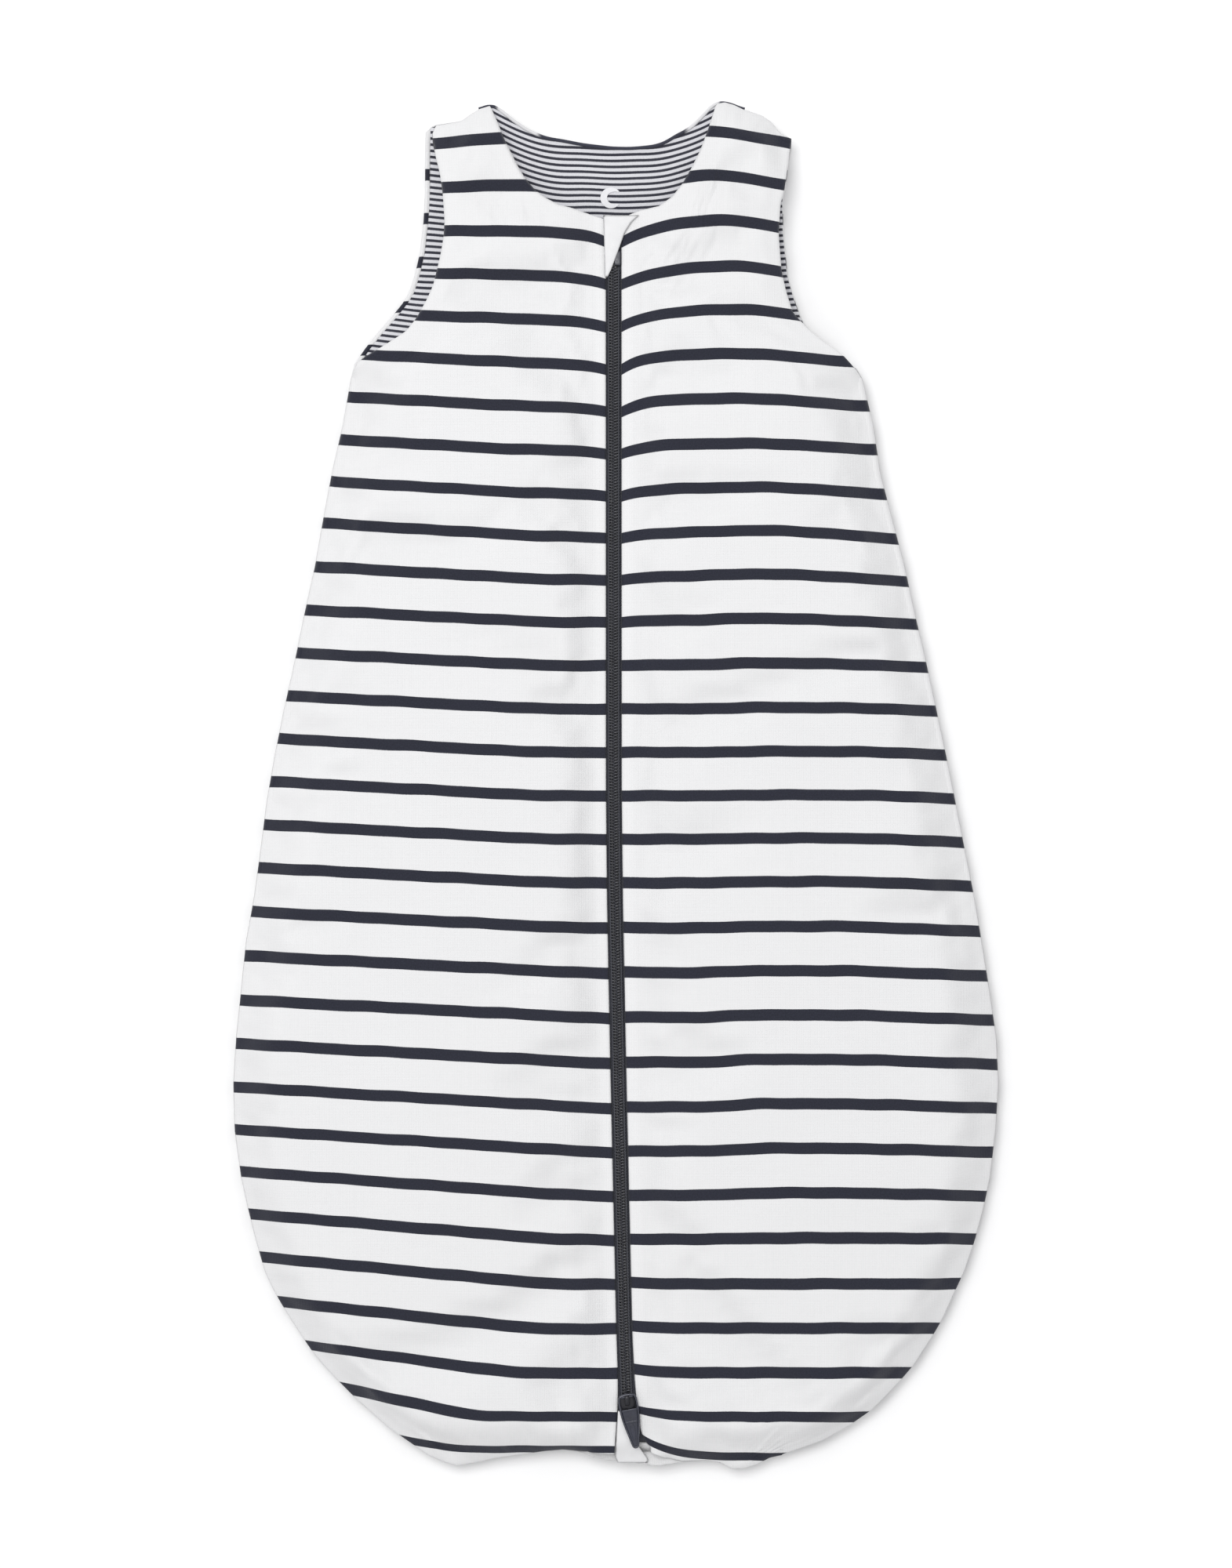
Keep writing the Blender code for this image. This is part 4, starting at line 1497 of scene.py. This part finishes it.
def block(name: str, centre: tuple[float, float, float], half: tuple[float, float, float],
          material: bpy.types.Material, power: float = 0.35) -> bpy.types.Object:
    """Rounded block: a superellipsoid with x = a cos(v)^p cos(u)^p and so on.

    Args:
        name: the piece's name.
        centre: its middle.
        half: its half sizes.
        material: its finish.
        power: 1 for an ellipsoid, towards 0 for a sharp box.

    Returns:
        The new object.
    """
    u = np.linspace(0.0, 2.0 * np.pi, 49)[:-1][None]
    v = np.linspace(-np.pi / 2.0, np.pi / 2.0, 25)[:, None]
    ring = signed_power(np.cos(v), power)
    x = centre[0] + half[0] * ring * signed_power(np.cos(u), power)
    y = centre[1] + half[1] * ring * signed_power(np.sin(u), power)
    z = centre[2] + half[2] * signed_power(np.sin(v), power) + 0.0 * u
    return domed(name, x, y, z, material)


@dataclass(frozen=True)
class ZipSlider:
    """Slider with its two plates, its crown and its puller, built upright and turned to its place.

    Its own frame has its pivot at x 0 and y 0, and its foot end at lower y. The outlines are pairs
    of half width and y, from the pivot to the tip.
    """

    zipper: Zip
    y: float = -312.0
    half_width: float = 3.85
    half_length: float = 4.2
    middle_y: float = -2.4
    plate: float = 0.9
    plate_low: float = 3.1
    pivot: float = 5.2
    swing: float = 9.5
    leaf: Points = (
        (2.9, 1.2), (4.3, -0.2), (4.55, -3.4), (4.45, -8.4), (4.05, -12.0), (3.4, -15.6),
        (2.65, -19.0), (1.9, -22.4), (1.2, -26.2),
    )
    leaf_slot: Points = ((-1.5, -14.2), (1.5, -14.2), (0.7, -22.6), (-0.7, -22.6))
    web_top: float = -6.6
    web_tip: float = -25.9
    web_half: float = 0.3

    def frame(self) -> tuple[Array, Array]:
        """Turn and place of the slider on the straight line of the zip.

        Returns:
            The matrix whose columns are the slider's own axes, and the place of its pivot.
        """
        (x1, y1, z1), (x0, y0, z0) = self.zipper.shape.zip_line
        run = np.array([x1 - x0, y1 - y0, z1 - z0])
        run /= np.linalg.norm(run)
        across = np.cross(run, (0.0, 0.0, 1.0))
        across /= np.linalg.norm(across)
        part = (self.y - y0) / (y1 - y0)
        place = np.array([x0 + part * (x1 - x0), self.y, z0 + part * (z1 - z0)])
        return np.stack([across, run, np.cross(across, run)], axis=1), place

    def settle(self, pieces: list[bpy.types.Object]) -> None:
        """Move pieces from the slider's own frame to the zip.

        Args:
            pieces: the pieces, which are changed.
        """
        turn, place = self.frame()
        for piece in pieces:
            points = points_of(piece) @ turn.T + place
            piece.data.vertices.foreach_set("co", (points * MM).ravel())
            piece.data.update()

    def shield(self, name: str, low: float, high: float) -> bpy.types.Object:
        """One plate: a shield in plan, wide at the foot end and narrower at the other.

        Args:
            name: the plate's name.
            low, high: its lower and upper face.

        Returns:
            The new object: a superellipsoid whose width tapers with y.
        """
        u = np.linspace(0.0, 2.0 * np.pi, 73)[:-1][None]
        v = np.linspace(-np.pi / 2.0, np.pi / 2.0, 17)[:, None]
        inward = np.cos(v) ** 0.3
        y = self.half_length * signed_power(np.sin(u), 0.7)
        taper = 1.0 - 0.3 * smooth((y + 1.0) / 5.2)
        x = self.half_width * taper * signed_power(np.cos(u), 0.55)
        z = (low + high) / 2.0 + (high - low) / 2.0 * signed_power(np.sin(v), 0.6) + 0.0 * u
        return domed(name, x * inward, y * inward + self.middle_y, z, self.zipper.finishes.cast)

    def body(self) -> bpy.types.Object:
        """Plates, side flanges and the post between them, joined into one piece."""
        metal = self.zipper.finishes.metal
        high = self.plate_low + self.plate + 0.25
        plates = [self.shield("slider_body_cast", self.plate_low, high),
                  self.shield("slider_lower", -1.2, -0.3)]
        post = block("slider_post", (0.0, -4.3, 1.4), (0.7, 1.7, 2.1), metal)
        flanges = [block("slider_flange", (side.value * 3.05, -3.2, 2.1), (0.3, 2.6, 1.3), metal)
                   for side in Side]
        return joined([*plates, post, *flanges])

    def crown(self) -> bpy.types.Object:
        """Arched bridge: a flat strap that rises from the plate, runs level and comes down."""
        t = np.linspace(0.0, np.pi, 41)
        y = -1.6 - 2.5 * signed_power(np.cos(t), 0.55)
        z = self.plate_low + self.plate + 0.1 + 2.35 * np.sin(t) ** 0.5
        path = np.stack([0.0 * t, y, z], 1)
        return swept("slider_crown_cast", path, 1.1, 0.36, 10, self.zipper.finishes.cast)

    def rim(self, name: str, outline: Points, radius: float, high: float) -> bpy.types.Object:
        """Wire bent to a closed outline, its corners cut three times at a quarter of each edge.

        Args:
            name: the piece's name.
            outline: the corners of the outline.
            radius, high: half width and half height of the wire.

        Returns:
            The new object, level with the pivot.
        """
        corners = np.array(outline)
        for _ in range(3):
            after = np.roll(corners, -1, axis=0)
            cut = [0.75 * corners + 0.25 * after, 0.25 * corners + 0.75 * after]
            corners = np.stack(cut, 1).reshape(-1, 2)
        path = np.column_stack([corners, np.full(len(corners), self.pivot)])
        return swept(name, path, radius, high, 8, self.zipper.finishes.metal, ring=True)

    def puller(self) -> bpy.types.Object:
        """Cast puller: an open eye over the pivot, a waist, and a leaf with a slot and a rim."""
        metal = self.zipper.finishes.metal
        outline = tuple((-px, py) for px, py in self.leaf) + self.leaf[::-1]
        rim = self.rim("puller_cast", outline, 0.5, 0.62)
        t = np.linspace(self.web_top, self.web_tip, 45)[::-1, None]
        u = np.linspace(-1.0, 1.0, 13)[None]
        side = along(tuple((-py, px) for px, py in self.leaf), -t) - 0.25
        x, y = u * side, t + 0.0 * u
        face = self.pivot + 0.0 * x
        web = closed_sheet("puller_web", x, y, face + self.web_half, face - self.web_half, metal)
        slot = self.rim("puller_slot", self.leaf_slot, 0.28, 0.5)
        bands = [block(f"puller_{name}", (0.0, y, self.pivot), half, metal) for name, y, half in (
            ("band", -6.9, (4.1, 0.6, 0.6)), ("waist", -13.0, (3.4, 0.55, 0.55)),
            ("bar", 0.05, (3.2, 0.42, 0.5)))]
        # Painted highlight: a thin ring just inside the rim, in the lighter finish, for the light
        # that runs along the rim.
        inner = tuple((px * 0.955, py * 0.985 - 0.15) for px, py in outline)
        trim = self.rim("puller_highlight_ring", inner, 0.17, 0.75)
        trim.data.materials[0] = self.zipper.finishes.edge
        whole = joined([rim, web, slot, *bands, trim])
        x, y, z = points_of(whole).T
        cos, sin = np.cos(np.radians(self.swing)), np.sin(np.radians(self.swing))
        turned = np.stack([x * cos - y * sin, x * sin + y * cos, z], 1)
        whole.data.vertices.foreach_set("co", (turned * MM).ravel())
        return whole

    def make(self) -> None:
        body, crown, puller = self.body(), self.crown(), self.puller()
        self.settle([body, crown, puller])
        self.zipper.declare(body, "zip_slider", "zip_metal", "slider_body")
        self.zipper.declare(crown, "zip_slider", "zip_metal", "slider_crown")
        self.zipper.declare(puller, "zip_puller", "zip_metal", "puller")


def joined(pieces: list[bpy.types.Object]) -> bpy.types.Object:
    """Join pieces into the first of them, which takes on their finishes.

    Args:
        pieces: the pieces; all but the first are removed.

    Returns:
        The first piece, with the faces of them all.
    """
    mesh = bmesh.new()
    finishes = pieces[0].data.materials
    for piece in pieces:
        finish = piece.data.materials[0]
        if finish.name not in finishes:
            finishes.append(finish)
        start = len(mesh.faces)
        mesh.from_mesh(piece.data)
        mesh.faces.ensure_lookup_table()
        for face in mesh.faces[start:]:
            face.material_index = finishes.find(finish.name)
    for layer in list(mesh.loops.layers.uv):
        mesh.loops.layers.uv.remove(layer)
    mesh.to_mesh(pieces[0].data)
    mesh.free()
    for piece in pieces[1:]:
        bpy.data.objects.remove(piece)
    return pieces[0]


@dataclass(frozen=True)
class Trims:
    """Small sewn pieces: neck binding, underlap, guard, foot stay and the printed moon.

    The guard's and the stay's edges are pairs of y and x. The stay's are counted from the zip.
    """

    shape: BagShape
    zipper: Zip
    finishes: Finishes
    least_flat: float = 0.0101
    underlap_ends: tuple[float, float] = (-341.0, 282.0)
    guard_left: Points = ((258.5, -5.2), (290.0, -6.3))
    guard_right: Points = (
        (258.5, -4.2), (262.0, -2.4), (270.0, 0.6), (281.5, 4.8), (287.0, 8.4), (290.0, 12.0),
    )
    stay_left: Points = ((-346.9, -5.2), (-344.0, -6.4), (-319.4, -4.6))
    stay_right: Points = (
        (-346.9, 10.0), (-345.0, 10.5), (-338.0, 5.8), (-331.0, 1.8), (-325.0, -0.3),
        (-319.4, -2.6),
    )
    moon_middle: tuple[float, float] = (-2.4, 301.0)
    moon_radius: float = 5.4
    moon_width: float = 3.4

    def strip(self, name: str, left: Array, right: Array, y: Array, low: Array, thick: float,
              bulge: float = 0.0) -> bpy.types.Object:
        """Flat strip of trim cloth between two edges, arched across by a parabola.

        Args:
            name: the piece's name.
            left, right: x of its edges at each y.
            y: its rows.
            low: height of its underside at each y.
            thick: its thickness.
            bulge: height of the arch, which fades out at both ends.

        Returns:
            The new object.
        """
        u = np.linspace(0.0, 1.0, 15)[None]
        x = left[:, None] + (right - left)[:, None] * u
        row = np.arange(len(y))[:, None]
        inside = rounded(np.minimum(row, row[::-1]) / 3.0)
        z = low[:, None] + bulge * (1.0 - (2.0 * u - 1.0) ** 2) * inside
        y = y[:, None] + 0.0 * u
        piece = closed_sheet(name, x, y, z + thick, z, self.finishes.trim)
        lay_pattern(piece, both_faces(x), both_faces(y))
        return piece

    def binding(self) -> None:
        """Narrow binding round the back's neck edge, dark in its middle and at the shoulders."""
        spans = ((-70.0, -60.0, 12), (-60.0, 50.0, 110), (50.0, 66.0, 14))
        x = np.unique(np.concatenate([np.linspace(*span) for span in spans]))
        y = along(self.shape.back_neck, x)
        y = np.convolve(np.pad(y, 3, mode="edge"), np.ones(7) / 7.0, "valid") - 0.1
        z = self.shape.back_top(x, y) - 0.1
        path = np.stack([x, y, z], 1)
        piece = swept("neck_binding_cord", path, 0.85, 0.8, 10, self.finishes.binding)
        x = points_of(piece)[:, 0]
        dark = smooth((x + 41.0) / 3.0) * smooth((38.0 - x) / 3.0)
        dark = dark + smooth((-59.5 - x) / 2.0) + smooth((x - 52.0) / 2.0)
        attribute = piece.data.attributes.new("mark", "FLOAT", "POINT")
        attribute.data.foreach_set("value", np.clip(dark, 0.0, 1.0).astype(np.float32))
        self.zipper.declare(piece, "bag", "striped_knit", "neck_binding")

    def underlap(self) -> None:
        """Strip of cloth under the zip."""
        y = np.linspace(*self.underlap_ends, 160)
        middle, low = self.shape.zip_x(y), self.shape.tape_z(y) - 2.4
        piece = self.strip("zip_underlap_cloth", middle - 12.0, middle + 14.0, y, low, 0.9)
        self.zipper.declare(piece, "left_flap", "trim_cloth", "zip_underlap")

    def guard(self) -> None:
        """Folded cloth guard over the top end of the zip."""
        y = np.linspace(self.guard_left[0][0], self.guard_left[-1][0], 28)
        left, right = along(self.guard_left, y), along(self.guard_right, y)
        low = self.shape.tape_z(y) + 3.3
        piece = self.strip("top_guard_cloth", left, right, y, low, 0.8, bulge=0.7)
        self.zipper.declare(piece, "left_flap", "trim_cloth", "top_guard")

    def stay(self) -> None:
        """Cloth patch that covers the foot end of the tapes and bends down over it."""
        y = np.linspace(self.stay_left[0][0], self.stay_left[-1][0], 40)
        middle = self.shape.zip_x(y)
        left, right = middle + along(self.stay_left, y), middle + along(self.stay_right, y)
        low = self.shape.tape_z(y) + 2.9 - 5.6 * smooth((-334.0 - y) / 13.0)
        piece = self.strip("zip_foot_stay_cloth", left, right, y, low, 0.6, bulge=0.6)
        self.zipper.declare(piece, "right_flap", "trim_cloth", "zip_foot_stay")

    def moon(self) -> None:
        """Small printed crescent on the back's lining: the gap between two circles."""
        t = np.linspace(-1.0, 1.0, 41)[:, None]
        u = np.linspace(0.0, 1.0, 9)[None]
        angle = t * 0.8 * np.pi
        width = self.moon_width * np.maximum(1.0 - t**2, 0.0) ** 0.6
        radius = self.moon_radius - width * u
        x = self.moon_middle[0] - radius * np.cos(angle)
        y = self.moon_middle[1] + radius * np.sin(angle)
        points = np.stack([x, y, self.shape.back_top(x, y) + 0.15], -1).reshape(-1, 3)
        quads = grid_quads(np.arange(x.size).reshape(x.shape))
        piece = add_piece("neck_print_moon", points, quads, self.finishes.print)
        lay_pattern(piece, x.ravel(), y.ravel())
        self.zipper.declare(piece, "bag", "lining_knit")

    def make(self) -> None:
        """Make every trim."""
        self.binding()
        self.underlap()
        self.guard()
        self.stay()
        self.moon()


@dataclass(frozen=True)
class Studio:
    """Pale floor, overhead softbox, even surroundings and the camera; sizes are metres."""

    floor_grey: float = 0.86
    floor_half: float = 6.0
    floor_z: float = -0.0003
    world: float = 0.80
    lamp_power: float = 30.0
    lamp_size: float = 1.1
    lamp_place: tuple[float, float, float] = (-0.45, 0.6, 2.2)
    camera_place: tuple[float, float, float] = (0.0002, 0.0005, 1.908)
    lens_mm: float = 85.0
    sensor_mm: float = 36.0

    def floor(self) -> None:
        """Level square under the bag."""
        x = np.array([-1.0, 1.0, 1.0, -1.0]) * self.floor_half
        y = np.array([-1.0, -1.0, 1.0, 1.0]) * self.floor_half
        points = np.stack([x, y, np.full(4, self.floor_z)], 1)
        wiring = Wiring("studio_floor")
        grey = (self.floor_grey,) * 3 + (1.0,)
        wiring.set(Base_Color=grey, Roughness=1.0, Specular_IOR_Level=0.0)
        add_piece("floor", points / MM, np.array([[0, 1, 2, 3]]), wiring.material)

    def lights(self) -> None:
        """Even pale surroundings, and a softbox that faces the middle of the floor."""
        scene = bpy.context.scene
        scene.view_settings.view_transform = "Standard"
        world = scene.world or bpy.data.worlds.new("surroundings")
        scene.world = world
        world.use_nodes = True
        background = world.node_tree.nodes["Background"]
        background.inputs["Color"].default_value = (self.world, self.world, self.world * 1.01, 1.0)
        lamp = bpy.data.lights.new("softbox", "AREA")
        lamp.energy = self.lamp_power
        lamp.size = self.lamp_size
        softbox = bpy.data.objects.new("softbox", lamp)
        x, y, z = self.lamp_place
        softbox.location = self.lamp_place
        softbox.rotation_euler = (-np.arctan2(y, z), np.arctan2(x, z), 0.0)
        scene.collection.objects.link(softbox)

    def camera(self) -> None:
        """Camera straight above the bag, looking down."""
        lens = bpy.data.cameras.new("camera")
        lens.lens = self.lens_mm
        lens.sensor_width = self.sensor_mm
        lens.clip_end = 20.0
        camera = bpy.data.objects.new("camera", lens)
        camera.location = self.camera_place
        bpy.context.scene.collection.objects.link(camera)
        bpy.context.scene.camera = camera

    def make(self) -> None:
        """Set up the floor, the lights and the camera."""
        self.floor()
        self.lights()
        self.camera()


def main() -> None:
    """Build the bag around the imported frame."""
    logging.basicConfig(level=logging.INFO, format="%(name)s: %(message)s")
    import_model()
    shape, finishes = BagShape(), Finishes()
    panels = Panels(shape, StripeLay(), finishes, ClothSettling())
    panels.back()
    for side in Side:
        panels.front(side)
    zipper = Zip(shape, finishes)
    zipper.make()
    ZipSlider(zipper).make()
    Trims(shape, zipper, finishes).make()
    Studio().make()


if __name__ == "__main__":
    main()
